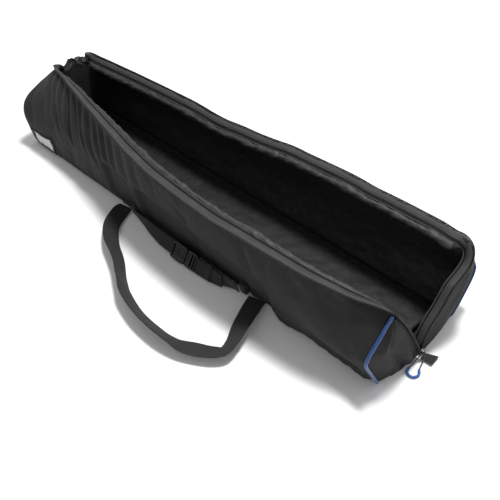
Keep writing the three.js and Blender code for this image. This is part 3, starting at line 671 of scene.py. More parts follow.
GRID = {}
for side in (FRONT, BACK):
    P, N, S = side_grid(side, XS, NS)
    L = S[:, -1:]
    X = P[..., 0]
    d = fold_field(side, X, S, L)
    calm = sstep(-HALF - 14, -HALF + 8, X) * sstep(HALF + 4, HALF - 18, X)     # flat where the ends are sewn on
    floor = sstep(-4, 8, S)                                                # flat under the base
    d = d * calm * floor + end_round(X) * sstep(-6, 3, S)
    G = P + N * d[..., None]
    G[..., 2] = np.maximum(G[..., 2], 0.15)
    G[..., 0] -= 1.5 * sstep(-HALF + 40, -HALF, X) * np.sin(np.pi * np.clip(S / L, 0, 1)) ** 0.7       # the far end swells
    if side == BACK:                                                       # the near corner bows out below its fold
        G[..., 0] += 4.5 * sstep(400, 449, X) * sstep(-14, 14, S) * sstep(128, 62, S)
        G[..., 0] += 3.0 * sstep(400, 449, X) * sstep(14, -14, S)
        G[..., 1] -= 7.0 * sstep(425, 449, X) * sstep(34, 2, S) * sstep(-14, 6, S)
    GRID[side] = (G, N, S, L)


def on_side(side, x, s, off=0.0):
    """Point off mm outside the side's fabric at x, s mm above the base corner, and its outward normal."""
    G, N, S, L = GRID[side]
    x = np.atleast_1d(np.asarray(x, float)); s = np.atleast_1d(np.asarray(s, float))
    x, s = np.broadcast_arrays(x, s)
    fi = np.clip((x - XS[0]) / (XS[-1] - XS[0]) * (len(XS) - 1), 0, len(XS) - 1.001)
    i = fi.astype(int); t = (fi - i)[..., None]
    nrm = -unit(grid_normals(G) * side) if False else None
    out = []
    for a in (i, i + 1):
        step = (S[a, -1] - S[a, 0]) / (S.shape[1] - 1)
        fj = np.clip((s - S[a, 0]) / step, 0, S.shape[1] - 1.001)
        j = fj.astype(int); u = (fj - j)[..., None]
        out.append((G[a, j] * (1 - u) + G[a, j + 1] * u, GN[side][a, j] * (1 - u) + GN[side][a, j + 1] * u))
    p = out[0][0] * (1 - t) + out[1][0] * t
    n = unit(out[0][1] * (1 - t) + out[1][1] * t)
    return p + n * (off if np.isscalar(off) else np.asarray(off)[..., None]), n


def cloth_pass(side, frames_=20, cap=3.6):
    """The side's cloth, sewn along all four edges and cut a little too large, is let go as a cloth simulation;
    the buckles it makes are added to the grid, none deeper than cap."""
    G, N, S, L = GRID[side]
    ii = np.linspace(0, G.shape[0] - 1, 151); jj = np.linspace(0, G.shape[1] - 1, 39)
    a, b = np.round(ii).astype(int), np.round(jj).astype(int)
    P = G[a][:, b]
    me = bpy.data.meshes.new("sim")
    me.from_pydata((P.reshape(-1, 3) * MM).tolist(), [], grid_faces(len(a), len(b)).tolist())
    o = bpy.data.objects.new("sim", me)
    bpy.context.scene.collection.objects.link(o)
    g = o.vertex_groups.new(name="pin")
    idx = np.arange(len(a) * len(b)).reshape(len(a), len(b))
    base = int(np.sum(np.median(S[:, b], 0) < 8.0))
    pins = np.concatenate([idx[:2].ravel(), idx[-2:].ravel(), idx[:, :base].ravel(), idx[:, -1:].ravel()])
    g.add(sorted({int(k) for k in pins}), 1.0, "REPLACE")
    m = o.modifiers.new("Cloth", "CLOTH")
    c = m.settings
    c.quality = 6; c.mass = 0.2; c.air_damping = 1.0
    c.tension_stiffness = 20; c.compression_stiffness = 20; c.shear_stiffness = 8; c.bending_stiffness = 0.35
    c.tension_damping = 5; c.compression_damping = 5; c.shear_damping = 5; c.bending_damping = 0.5
    c.vertex_group_mass = "pin"; c.shrink_min = -0.022
    c.effector_weights.gravity = 0.0
    m.collision_settings.use_collision = False; m.collision_settings.use_self_collision = False
    m.point_cache.frame_start, m.point_cache.frame_end = 1, frames_
    sc = bpy.context.scene
    keep = sc.frame_current
    for f in range(1, frames_ + 1): sc.frame_set(f)
    ev = o.evaluated_get(bpy.context.evaluated_depsgraph_get())
    co = np.empty(len(ev.data.vertices) * 3, np.float32)
    ev.data.vertices.foreach_get("co", co)
    D = (co.reshape(P.shape).astype(float) / MM - P)
    nrm = N[a][:, b]
    h = np.sum(D * nrm, 2)
    h = cap * np.tanh(h / cap)
    sc.frame_set(keep)
    bpy.data.objects.remove(o, do_unlink=True)
    # back up to the full grid, smoothly
    rows = np.stack([np.interp(np.arange(G.shape[1]), b, h[k]) for k in range(len(a))])
    full = np.stack([np.interp(np.arange(G.shape[0]), a, rows[:, k]) for k in range(G.shape[1])], 1)
    for _ in range(2):
        full[1:-1] = (full[:-2] + 2 * full[1:-1] + full[2:]) / 4
        full[:, 1:-1] = (full[:, :-2] + 2 * full[:, 1:-1] + full[:, 2:]) / 4
    print("cloth pass", NAME[side], "deepest", round(float(np.abs(full).max()), 2), "mean", round(float(np.abs(full).mean()), 2))
    full = full * (1 - 0.9 * flat_zone(side, G[..., 0], S))
    G2 = G + N * full[..., None]
    G2[..., 2] = np.maximum(G2[..., 2], 0.15)
    GRID[side] = (G2, N, S, L)


for side in (FRONT, BACK): cloth_pass(side)

GN = {}
for side in (FRONT, BACK):
    G, N, S, L = GRID[side]
    g = grid_normals(G)
    flip = np.sign(np.sum(g * N, 2))
    GN[side] = -g * flip[..., None]              # outward

for side in (FRONT, BACK):
    j = [q for q in frame["joints"] if q["child"] == FLAP[side]][0]
    z = float(np.array(j["pos_m"])[2]) * 1000.0 if "pos_m" in j else 85.0


def soft(o, side, *nodes):
    """A fabric piece of one side: hides the CAD pieces it stands for and bakes its transform into the mesh."""
    if nodes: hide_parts(*nodes)
    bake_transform(o)
    return o


def rigid(o, body, slot=None, *nodes):
    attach(o, body)
    if nodes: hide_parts(*nodes)
    return o


# ------------------------------------------------------------------ outer sides, base to rim
for side in (FRONT, BACK):
    G, N, S, L = GRID[side]
    B, C, T, w, f, nw, nf = frames(side, XS)
    f3 = np.concatenate([np.zeros((len(XS), 1)), f], 1); n3 = np.concatenate([np.zeros((len(XS), 1)), nf], 1)
    top = G[:, -1]
    hem = [top + f3 * 1.3 + n3 * 0.5, top + f3 * 1.9 + n3 * 1.9, top + f3 * 1.4 + n3 * 3.4, top - f3 * 1.2 + n3 * 4.6]
    full = np.concatenate([G] + [h[:, None] for h in hem], 1)
    Nf = np.concatenate([-GN[side], np.repeat(n3[:, None], 1, 1), np.repeat((n3 * 0.5 - f3)[:, None], 1, 1), np.repeat(-f3[:, None], 1, 1), np.repeat((-f3 - n3 * 0.3)[:, None], 1, 1)], 1)
    uv = np.stack([full[..., 0], np.concatenate([S] + [L + 2 * (k + 1) for k in range(4)], 1)], 2)
    o = sheet(f"{NAME[side]}_shell", full, 1.2, M_SHELL, uv, unit(Nf))
    nm = NAME[side]
    soft(o, side, f"{nm}_side_panel", f"{nm}_side_foam", f"{nm}_flap_panel", f"{nm}_flap_foam")

# ------------------------------------------------------------------ base
bx = np.linspace(-HALF + 5, HALF - 3, 181); by = np.linspace(-1, 1, 37)
BX, BY = np.meshgrid(bx, by, indexing="ij")
wy = 66.0
z = 0.35 + 0.5 * fbm(BX / 60.0, BY * 2, 41) * (1 - BY ** 4)
xe = HALF - 2 + 10.0 * np.clip(1 - (BY * wy / 95.0) ** 2, 0, 1)
XB = np.where(BX > 380, 380 + (BX - 380) * (xe - 380) / (HALF - 3 - 380), np.where(BX < -400, -400 + (BX + 400) * 1.14, BX))
P = np.stack([XB, BY * wy, np.clip(z, 0.05, 1.2)], 2)
o = sheet("base_shell", P, 1.3, M_BASE, np.stack([BX, BY * wy], 2), np.repeat(np.repeat([[[0, 0, 1.0]]], 181, 0), 37, 1))
rigid(o, "root", "woven_shell", "base_panel", "base_foam", "base_board")
# lining over the padded base
z = 11.6 + 1.6 * fbm(BX / 42.0, BY * 2.2, 43, 3) + 1.0 * fbm(BX / 15.0, BY * 6, 44, 2) - 2.0 * BY ** 4 + 2.4
P = np.stack([np.clip(BX, -HALF + 12, HALF - 11), BY * 79.0, z], 2)
P = P[4:-4]
o = sheet("base_lining_cloth", P, -1.0, M_LINING, None, np.repeat(np.repeat([[[0, 0, 1.0]]], P.shape[0], 0), 37, 1))
rigid(o, "root", "satin_lining", "base_lining")

# ------------------------------------------------------------------ linings of the sides
LX = np.linspace(-HALF + 9, HALF - 8, 301)
for side in (FRONT, BACK):
    P, N, S = side_grid(side, LX, 90)
    keep = S[0] > 9.0
    P, N, S = P[:, keep], N[:, keep], S[:, keep]
    L = S[:, -1:]
    X = P[..., 0]; up = S / L
    inner = 9.6 + 2.6 * np.sin(np.clip(up, 0, 1) * np.pi)
    dd = 2.0 * fbm(X / 48.0, S / 30.0, 60 + side, 3) + 1.1 * fbm(X / 13.0, S / 11.0, 64 + side, 3)
    for k in range(26):                       # slack gathers hanging from the rim
        c = -430 + 34.5 * k + 9 * rnd(k, 70 + side)
        low = 0.42 + 0.2 * rnd(k, 72 + side)
        dd = dd + (2.0 + 0.9 * rnd(k, 74)) * ridge(X, c + 0.12 * (L - S) * (1 if k % 2 else -1), 7.5 + 2.5 * rnd(k, 75)) * sstep(low - 0.15, low + 0.3, up)
    # the slack lining puffs out in a band under the rim, with a crease below it
    wav = 0.018 * np.sin(X / 47.0) + 0.012 * np.sin(X / 21.0 + 1.3)
    dd = dd + (5.5 + 1.6 * vnoise(X / 33.0, 0.4 + 0 * S, 77 + side)) * np.exp(-((S - L * (0.845 + wav)) / 10.5) ** 2)
    dd = dd - 3.6 * np.exp(-((S - L * (0.70 + 1.4 * wav)) / 8.0) ** 2) + 1.6 * np.exp(-((S - L * (0.52 + wav)) / 15.0) ** 2)
    dd = dd + 0.9 * vnoise(X / 5.2, S / 9.0, 79 + side) * sstep(0.66, 0.78, up)
    d = inner + dd * sstep(0, 0.08, up) * sstep(1.0, 0.93, up)
    Pn = P + N * d[..., None]
    Pn = Pn[:, :-2]
    N2 = N[:, :-2]
    o = sheet(f"{NAME[side]}_lining_cloth", Pn, -0.9, M_LINING, np.stack([X, S], 2)[:, :-2], N2)
    soft(o, side, f"{NAME[side]}_side_lining", f"{NAME[side]}_flap_lining")

# ------------------------------------------------------------------ rim path: along the top, round the corner, down the split
zs_lo, zs_hi = cadbox("zip_slider")
SL = np.array([zs_lo[0], (zs_lo[1] + zs_hi[1]) / 2, (zs_lo[2] + zs_hi[2]) / 2])
END_PATH = {
    FRONT: [(439, -91.5, 153), (448.5, -84, 147), (453, -74, 132), (455, -60, 111), (456.3, -40, 78), (457.3, -22, 46), (458, -11.5, 23), (458, -9.0, 14), (458, -6.5, 7.5)],
    BACK: [(437, 96.0, 164.5), (450.5, 92.5, 158), (458, 88, 147), (461.5, 80, 134), (461.5, 64, 122), (460.5, 46, 111), (459, 28, 82), (457, 6, 50), (456.8, -2.5, 30), (456.8, -5.2, 20), (456.8, -3.2, 8)]}
START_PATH = {FRONT: [(-441, 5, 127.5), (-446.5, 1.5, 134.5), (-447.5, -5.5, 139.0)], BACK: [(-442, 56, 131.0), (-448.5, 62, 138.0), (-449.0, 70.5, 141.5)]}


def rim_path(side, n):
    xs = np.linspace(-HALF + 10, 425, 60)
    T = table(RIM[side], xs)
    top = np.concatenate([xs[:, None], T], 1)
    ctrl = np.concatenate([np.array(START_PATH[side], float), top, np.array(END_PATH[side], float)])
    C = catmull_curve(ctrl, n)
    for _ in range(2):
        C[1:-1] = (C[:-2] + 2 * C[1:-1] + C[2:]) / 4
    s = length_of(C)
    B_, C_, T_, w_, f_, nw_, nf_ = frames(side, np.clip(C[:, 0], -HALF, HALF))
    nf3 = np.concatenate([np.zeros((n, 1)), nf_], 1)
    s0 = np.interp(432, C[: int(n * 0.86), 0], s[: int(n * 0.86)])
    k = sstep(s0 - 14, s0 + 38, s)[:, None]
    D = unit(nf3 * (1 - k) + np.array([[-1.0, 0, 0]]) * k)
    Tn = tangents(C)
    U = unit(np.cross(D, Tn))
    i0 = n // 3
    f3 = np.array([0, *f_[i0]])
    if np.dot(U[i0], f3) < 0: U = -U
    D = unit(D - np.sum(D * Tn, 1, keepdims=True) * Tn)
    if side == BACK: C = C + D * (5.0 * (1 - sstep(s0 - 10, s0 + 50, s)) * sstep(0, 40, s))[:, None]
    return C, U, D, s, s0


NP = 560
PATH = {side: rim_path(side, NP) for side in (FRONT, BACK)}


def taper(s, c=(-2.0, 3.0), run=9.0, low=0.35):
    """Lets a swept piece die away, rounded, at the far end."""
    c = np.array(c)
    def f(i, pr):
        t = min(s[i] / run, 1.0)
        return c + (pr - c) * (low + (1 - low) * math.sqrt(1 - (1 - t) ** 2))
    return f


def tape_vary(side):
    C, U, D, s, s0 = PATH[side]
    def f(i, pr):
        pr = pr.copy()
        k = float(sstep(s0 + 10, s0 + 60, s[i]))
        pr[:, 1] = pr[:, 1] * (1 - 0.15 * k) + 1.8 * k
        pr[:, 0] = pr[:, 0] + 0.35 * math.sin(s[i] / 13.0 + side) + 0.25 * float(vnoise(s[i] / 7.0, 3.1, 80 + side))
        return taper(s)(i, pr)
    return f


for side in (FRONT, BACK):
    C, U, D, s, s0 = PATH[side]
    nm = NAME[side]
    # zip tape, slightly dished
    prof = [(-2.0, -4.6), (-1.4, -2.0), (-1.1, 1.5), (-1.5, 5.0), (-2.6, 7.6), (-3.3, 7.4), (-2.3, 4.8), (-1.9, 1.5), (-2.2, -2.0), (-2.8, -4.6)]
    o = sweep(f"{nm}_zip_tape_cloth", C, U, D, prof, M_TAPE, vary=tape_vary(side))
    soft(o, side, f"{nm}_zip_tape", f"zip_end_{nm}_tape_lower", f"zip_end_{nm}_tape_upper")
    # dark binding between the tape and the roll
    prof = [(-3.6, 6.8), (-2.9, 8.4), (-3.2, 10.6), (-4.4, 12.4), (-6.5, 12.6), (-7.0, 10.5), (-6.5, 7.5)]
    o = sweep(f"{nm}_rim_binding", C[:-8], U[:-8], D[:-8], prof, M_BIND, vary=taper(s))
    soft(o, side)
    # piped edge of the binding
    o = sweep(f"{nm}_rim_cord", C[:-8], U[:-8], D[:-8], ellipse(0.9, 0.9, 8, -2.9, 12.2), M_EDGE, vary=taper(s))
    soft(o, side)
    # gathered roll of lining
    def roll_vary(i, pr, side=side, s=s, s0=s0):
        t = s[i]
        k = float(sstep(s0 - 6, s0 + 55, t))
        r = 1.0 + 0.22 * float(vnoise(t / 26.0, 0.3, 90 + side)) + 0.12 * float(vnoise(t / 9.0, 0.7, 91 + side)) - 0.55 * k
        r = r * (0.3 + 0.7 * math.sqrt(1 - (1 - min(t / 16.0, 1.0)) ** 2))
        c = np.array([-7.0, 17.0 - 6.0 * k])
        q = (pr - np.array([-7.0, 17.0])) * r
        a = np.arange(len(pr)) * (2 * np.pi / len(pr))
        q = q * (1 + 0.07 * np.sin(3 * a + t / 5.0) + 0.13 * np.array([float(vnoise(t / 4.4, 1.9 * math.cos(x) + 5, 93)) for x in a]))[:, None]
        return c + q + np.array([0.7 * float(vnoise(t / 38.0, 5.5, 95 + side)), 0.9 * float(vnoise(t / 31.0, 8.5, 96 + side))])
    m = int(NP * 0.97)
    # the roll's lighter satin is painted light on its top; it is the same lining fabric
    o = sweep(f"{nm}_rim_roll_cloth", C[:m], U[:m], D[:m], ellipse(5.4, 5.6, 18, -7.0, 17.0), M_ROLL_PAINTED_LIT, vary=roll_vary)
    soft(o, side, f"{nm}_rim_roll")
    # stitch lines on the tape
    parts = []
    st = resample(np.concatenate([C, U, D], 1), int(s[-1] / 3.2))
    for (uu, dd_) in ((-0.95, 2.6), (-1.35, 5.6)):
        for i in range(2, len(st) - 2):
            c = st[i, :3]; u_ = unit(st[i, 3:6]); d_ = unit(st[i, 6:9]); t_ = unit(st[i + 1, :3] - st[i - 1, :3])
            k = float(sstep(s0 + 10, s0 + 60, i * 3.2))
            cen = c + u_ * uu + d_ * (dd_ * (1 - 0.15 * k) + 1.8 * k)
            v = []
            for a, rr, uo in ((-1.15, 0.12, -0.12), (-0.5, 0.30, 0.10), (0.5, 0.30, 0.10), (1.15, 0.12, -0.12)):
                for q in range(5):
                    an = q * 2 * math.pi / 5
                    v.append(cen + t_ * a + u_ * (uo + rr * math.cos(an)) + d_ * (rr * math.sin(an)))
            fc = [[r * 5 + q, r * 5 + (q + 1) % 5, (r + 1) * 5 + (q + 1) % 5, (r + 1) * 5 + q] for r in range(3) for q in range(5)]
            fc += [[4, 3, 2, 1, 0], [15, 16, 17, 18, 19]]
            parts.append((np.array(v), fc, np.zeros((20, 2))))
    o = join_parts(f"{nm}_tape_stitching", parts, M_THREAD)
    soft(o, side)
    # coil: one wound thread along the tape's outer edge, over a core
    turns = int(s[-1] / 1.9)
    seg = 9
    nn = turns * seg
    q = np.linspace(0, s[-1] - 1.0, nn)
    Cc = np.stack([np.interp(q, s, C[:, k]) for k in range(3)], 1)
    Uc = unit(np.stack([np.interp(q, s, U[:, k]) for k in range(3)], 1))
    Dc = unit(np.stack([np.interp(q, s, D[:, k]) for k in range(3)], 1))
    k = sstep(s0 + 10, s0 + 60, q)
    ph = np.arange(nn) * 2 * np.pi / seg
    wave_ = np.array([0.35 * math.sin(a / 13.0 + side) for a in q])
    cu = -1.6 + wave_ + 1.25 * np.cos(ph); cd = -5.9 * (1 - 0.15 * k) + 1.8 * k - 0.2 + 1.55 * np.sin(ph)
    H = Cc + Uc * cu[:, None] + Dc * cd[:, None]
    Th = unit(np.gradient(H, axis=0)); A = unit(np.cross(Th, Cc + Uc * -1.6 + Dc * -6 - H)); Bn = np.cross(Th, A)
    ring = 5
    V = np.stack([H + 0.42 * (A * math.cos(2 * math.pi * r / ring) + Bn * math.sin(2 * math.pi * r / ring)) for r in range(ring)], 1)
    F = []
    base_i = np.arange(nn - 1) * ring
    for r in range(ring):
        r2 = (r + 1) % ring
        F.append(np.stack([base_i + r, base_i + r2, base_i + ring + r2, base_i + ring + r], 1))
    F = np.concatenate(F).tolist() + [list(range(ring - 1, -1, -1)), [(nn - 1) * ring + r for r in range(ring)]]
    uvv = np.stack([np.repeat(q[:, None], ring, 1), np.repeat(np.arange(ring)[None] * 0.5, nn, 0)], 2).reshape(-1, 2)
    o = new_obj(f"{nm}_zip_coil_wound", V.reshape(-1, 3), F, M_COIL, uvv)
    soft(o, side, f"{nm}_zip_coil")
    core = lambda i, pr: pr + np.array([0.35 * math.sin(s[i] / 13.0 + side), (5.9 * 0.15 + 1.8) * float(sstep(s0 + 10, s0 + 60, s[i]))])
    o = sweep(f"{nm}_coil_core", C, U, D, ellipse(0.75, 0.95, 8, -1.6, -6.1), M_BIND, vary=core)
    soft(o, side)

# ------------------------------------------------------------------ split zip end
NV, NU = 72, 46
END_SEAM = {}
for side in (FRONT, BACK):
    nm = NAME[side]
    G = GRID[side][0]
    seam = resample(G[-1][GRID[side][2][-1] > -14], 200)       # the side's end column, base to rim
    C, U, D, s, s0 = PATH[side]
    i0 = np.argmin(np.abs(s - (s0 + 8)))
    edge = (C - U * 3.4)[i0:][::-1]                            # free edge, bottom to top
    edge = resample(edge, 200)
    botx = np.array([edge[0][0], edge[0][1], 1.2])
    edge = resample(np.concatenate([[botx], edge]), 200)
    def level(curve, n):
        """n points up the curve, spaced by height and length together."""
        return resample(curve, n)
    A_, E_ = level(seam, NV), level(edge, NV)
    # share the seam's fold between both ends of each row
    u = np.linspace(0, 1, NU)[None, :, None]
    P = A_[:, None] * (1 - u) + E_[:, None] * u
    uu = u[..., 0]; vv = np.linspace(0, 1, NV)[:, None]
    foot = 0.75 if side == FRONT else 0.35
    bulge = 5.5 * np.sin(np.pi * uu) ** 0.9 * (foot * sstep(0.35, 0.0, vv) + np.sin(np.pi * np.clip(vv, 0.02, 0.98)) ** 0.6 * (1 - foot * sstep(0.35, 0.0, vv)))
    wr = 1.4 * fbm(uu * 4, vv * 5, 120 + side, 3)
    if side == FRONT:
        # soft vertical folds near the free edge, and one leaning down from the rim
        wr = wr + 5.5 * np.exp(-((uu - 0.76 + 0.05 * (vv - 0.3)) / 0.085) ** 2) * sstep(0.60, 0.22, vv)
        wr = wr - 5.0 * np.exp(-((uu - 0.56 + 0.16 * (vv - 0.3)) / 0.075) ** 2) * sstep(0.66, 0.26, vv)
        wr = wr + 3.2 * np.exp(-((uu - 0.36 - 0.30 * (vv - 0.5)) / 0.10) ** 2) * sstep(0.10, 0.35, vv) * sstep(0.98, 0.72, vv)
        wr = wr - 2.6 * np.exp(-((uu - 0.60 - 0.34 * (vv - 0.75)) / 0.08) ** 2) * sstep(0.42, 0.62, vv) * sstep(1.0, 0.86, vv)
    else:
        wr = wr + 2.4 * np.exp(-((uu - 0.5 - 0.2 * (vv - 0.5)) / 0.1) ** 2) * sstep(0.1, 0.35, vv) * sstep(0.95, 0.6, vv)
        wr = wr - 2.2 * np.exp(-((uu - 0.30 - 0.3 * (vv - 0.5)) / 0.09) ** 2) * sstep(0.2, 0.4, vv) * sstep(0.9, 0.6, vv)
    P[..., 0] += bulge + wr * np.sin(np.pi * uu) ** 0.5 * (0.45 + 0.55 * sstep(0, 0.12, vv)) * sstep(1, 0.88, vv)
    P[..., 2] = np.maximum(P[..., 2], 0.15)
    nrm = grid_normals(P)
    if np.mean(nrm[..., 0]) > 0: nrm = -nrm                     # inward
    uvm = np.stack([uu * 110 + 0 * vv, vv * 150 + 0 * uu], 2)
    o = sheet(f"zip_end_{nm}_shell", P, 1.3, M_SHELL, uvm, nrm)
    soft(o, side, f"zip_end_{nm}_lower", f"zip_end_{nm}_upper")
    # lining of the same half
    k = 8
    Q = P[3:-3, 1:-1] + nrm[3:-3, 1:-1] * (8.8 + 1.2 * fbm(uu * 6 + 0 * vv, vv * 7 + 0 * uu, 130 + side, 3)[3:-3, 1:-1][..., None])
    o = sheet(f"zip_end_{nm}_lining_cloth", Q, -0.9, M_LINING, uvm[3:-3, 1:-1], nrm[3:-3, 1:-1])
    soft(o, side)
    END_SEAM[side] = A_
    # edge gusset closing the padding between shell and lining along the free edge
    a, b = P[:, -1], P[:, -1] + nrm[:, -1] * 9.6
    t = np.linspace(0, 1, 6)[None, :, None]
    R = a[:, None] * (1 - t) + b[:, None] * t
    out_dir = unit(P[:, -1] - P[:, -4])
    R = R + out_dir[:, None] * (1.6 * np.sin(np.pi * t))
    o = sheet(f"zip_end_{nm}_edge", R[:-1], 0.9, M_BIND, None, -np.repeat(out_dir[:-1, None], 6, 1))
    soft(o, side)
    # blue piping along the corner seam
    pc = resample(G[-1][GRID[side][2][-1] > 2.5][:-1], 90)
    nn_ = GN[side][-4][GRID[side][2][-4] > 2.5][:-1]
    nn_ = unit(resample(nn_, 90))
    pr_ = 2.6 if side == FRONT else 1.7
    q_ = np.linspace(0, 1, 90)[:, None]
    ctr = pc + nn_ * (2.0 if side == FRONT else -0.9) + np.array([1.4, 0, 0]) - (nn_ * 3.2 + np.array([2.0, 0, 0])) * sstep(0.06, 0.0, q_)
    ctr[:, 2] = np.maximum(ctr[:, 2], pr_ + 0.1)
    tt = tangents(ctr)
    uu_ = unit(np.cross(tt, [1.0, 0, 0])); dd_ = np.cross(tt, uu_)
    o = sweep(f"{nm}_piping_cord", ctr, uu_, dd_, ellipse(pr_, pr_, 16), M_PIPE)
    soft(o, side, f"{nm}_piping_lower", f"{nm}_piping_upper")

# ------------------------------------------------------------------ far end
NR = 40
colF = GRID[FRONT][0][0]; colB = GRID[BACK][0][0]
sF, sB = GRID[FRONT][2][0], GRID[BACK][2][0]
iF = np.searchsorted(colF[:, 2], 94 - 6); iF = int(np.argmin(np.abs(colF[:, 2] - 90) + (np.arange(len(colF)) < 20) * 1e3))
iB = int(np.argmin(np.abs(colB[:, 2] - 80) + (np.arange(len(colB)) < 20) * 1e3))
mid_top = np.array([-HALF, 31.0, 143.0])


def far_sheet(name, dx, inset, mat, th, seed, nodes, slot, lining=False):
    f_col = resample(colF[(sF > -14)][: iF - np.argmax(sF > -14) + 1], NR)
    b_col = resample(colB[(sB > -14)][: iB - np.argmax(sB > -14) + 1], NR)
    f_col = f_col + [0, inset, 0]; b_col = b_col - [0, inset, 0]
    u = np.linspace(0, 1, 60)
    P = f_col[:, None] * (1 - u[None, :, None]) + b_col[:, None] * u[None, :, None]
    v = np.linspace(0, 1, NR)[:, None]
    yM = (mid_top[1] - f_col[-1, 1]) / (b_col[-1, 1] - f_col[-1, 1])
    tri = np.where(u < yM, u / yM, (1 - u) / (1 - yM))[None]
    zline = f_col[-1, 2] * (1 - yM) + b_col[-1, 2] * yM
    P[..., 2] += tri * (mid_top[2] - zline) * v ** 1.5
    uu = u[None] + 0 * v; vv = v + 0 * u[None]
    e = np.sin(np.pi * uu) ** 0.5 * np.sin(np.pi * np.clip(vv, 0, 0.93) / 1.02) ** 0.5
    seam = f_col[:, None, 0] * (1 - uu) + b_col[:, None, 0] * uu                     # the side's rounded end
    seam = seam if not lining else -HALF + 0 * uu
    P[..., 0] = seam + dx + (-5.0 * e if not lining else 2.5 * e) + (1.4 * fbm(uu * 5, vv * 4, seed, 3)) * e
    P[..., 0] += 3.0 * np.sin(uu * 2 * np.pi * 7.0) * vv ** 3 * sstep(0.12, 0.3, uu) * sstep(0.88, 0.7, uu)
    if lining: P = P[4:]
    nrm = np.zeros_like(P); nrm[..., 0] = 1.0 if not lining else -1.0
    o = sheet(name, P, th, mat, np.stack([uu * 230, vv * 110], 2)[-P.shape[0]:], nrm)
    rigid(o, "root", slot, *nodes)
    return P


lowF = far_sheet("far_end_shell", -0.6, -1.0, M_SHELL, 1.3, 140, ("far_end_panel", "far_end_foam"), "woven_shell")
lowL = far_sheet("far_end_lining_cloth", 9.6, 4.0, M_LINING, 0.9, 143, ("far_end_lining",), "satin_lining", True)


def gusset(side, name, dx, mat, lining=False):
    """Pleated upper half of the far end: fixed along the line below, carried by the flap's tip above."""
    col = colF if side == FRONT else colB
    i0 = iF if side == FRONT else iB
    edge = resample(col[i0:], 34)                                   # up the flap's end edge
    base_row = (lowF if not lining else lowL)[-1]
    m = int(np.argmax(base_row[:, 2]))
    low = resample(base_row[:m + 1] if side == FRONT else base_row[m:][::-1], 60)
    tip, mid = edge[-1], low[-1]
    sg = -side                                                      # from the tip towards the middle
    w = abs(mid[1] - tip[1])
    if side == FRONT:
        top = [tip, tip + [2.5, 0.20 * w * sg, -4.5], tip + [5, 0.36 * w * sg, -7.0], tip + [-1, 0.54 * w * sg, -2.0], tip + [-3, 0.74 * w * sg, 0.0], mid + [2, -4 * sg, 0.5], mid]
    else:
        top = [tip, tip + [3, 0.22 * w * sg, 0.5], tip + [8, 0.40 * w * sg, -0.5], tip + [2, 0.58 * w * sg, -2.5], tip + [7, 0.78 * w * sg, 1.5], mid + [5, -4 * sg, 1.5], mid]
    top = catmull_curve(top, 60)
    v = np.linspace(0, 1, 34)
    P = low[None] * (1 - v[:, None, None]) + top[None] * v[:, None, None]
    uu = np.linspace(0, 1, 60)[None]; vv = v[:, None]
    k = (1 - uu) ** 3                                               # the first column is the flap's edge itself
    P = P * (1 - k[..., None]) + (edge[:, None] + (P - P[:, :1])) * k[..., None]
    pl = 3.4 * np.sin(uu * 2 * np.pi * 3.0 + 0.6) * vv ** 0.8 * sstep(0, 0.10, uu) * sstep(1.0, 0.9, uu)
    P[..., 0] += pl + (dx if not lining else 0)
    nrm = np.zeros_like(P); nrm[..., 0] = 1.0 if not lining else -1.0
    o = sheet(name, P, 1.1, mat, np.stack([uu * 110 + 0 * vv, vv * 50 + 0 * uu], 2), nrm)
    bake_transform(o)
    return P


for side in (FRONT, BACK):
    gusset(side, f"far_gusset_{NAME[side]}", 0.0, M_SHELL)
    gusset(side, f"far_gusset_{NAME[side]}_lining_cloth", 0.0, M_LINING, True)

# ------------------------------------------------------------------ webbing
def ribbon(name, rows, width, thick, material, n=220, edge=0.55, wob=0.0, seed=0):
    """Strap along rows (x, y, z, wx, wy, wz): the centre line and the direction across it."""
    R = catmull_curve(rows, n)
    C = R[:, :3]
    W = np.array(rows, float)
    t0 = length_of(np.array(rows, float)[:, :3]); t0 = t0 / t0[-1]
    q = np.linspace(0, 1, n)
    Wd = np.stack([np.interp(q, t0, W[:, 3 + k]) for k in range(3)], 1)
    for _ in range(6): Wd[1:-1] = (Wd[:-2] + 2 * Wd[1:-1] + Wd[2:]) / 4
    T = tangents(C)
    Wd = unit(Wd - np.sum(Wd * T, 1, keepdims=True) * T)
    M = np.cross(T, Wd)
    if wob:
        s = length_of(C)
        C = C + M * (wob * np.array([float(vnoise(x / 40.0, 2.2, seed)) for x in s]) * np.sin(np.pi * q))[:, None]
    # across the strap: a flat body with rolled selvedges, bowed a little
    prof = []
    h = width / 2
    for a in np.linspace(-1, 1, 15): prof.append((a * (h - 0.8), thick / 2 * (1 - 0.12 * abs(a) ** 6)))
    prof += [(h - 0.15, thick * 0.32), (h, 0.0), (h - 0.15, -thick * 0.32)]
    for a in np.linspace(1, -1, 15): prof.append((a * (h - 0.8), -thick / 2 * (1 - 0.12 * abs(a) ** 6)))
    prof += [(-h + 0.15, -thick * 0.32), (-h, 0.0), (-h + 0.15, thick * 0.32)]
    prof = np.array(prof)
    s = length_of(C)
    def vary(i, pr):
        pr = pr.copy()
        cup = 0.5 * float(vnoise(s[i] / 45.0, 4.4, seed + 1))
        pr[:, 1] += cup * ((pr[:, 0] / h) ** 2 - 0.4)
        return pr
    V = np.empty((n, len(prof), 3))
    for i in range(n):
        pr = vary(i, prof)
        V[i] = C[i] + np.outer(pr[:, 0], Wd[i]) + np.outer(pr[:, 1], M[i])
    m = len(prof)
    F = []
    for i in range(n - 1):
        for j in range(m):
            k = (j + 1) % m
            F.append([i * m + j, i * m + k, (i + 1) * m + k, (i + 1) * m + j])
    F.append(list(range(m - 1, -1, -1))); F.append([(n - 1) * m + j for j in range(m)])
    uv = np.stack([np.repeat(s[:, None], m, 1), np.repeat(prof[None, :, 0] + h, n, 0)], 2)
    return new_obj(name, V.reshape(-1, 3), F, material, uv.reshape(-1, 2)), C, Wd, M


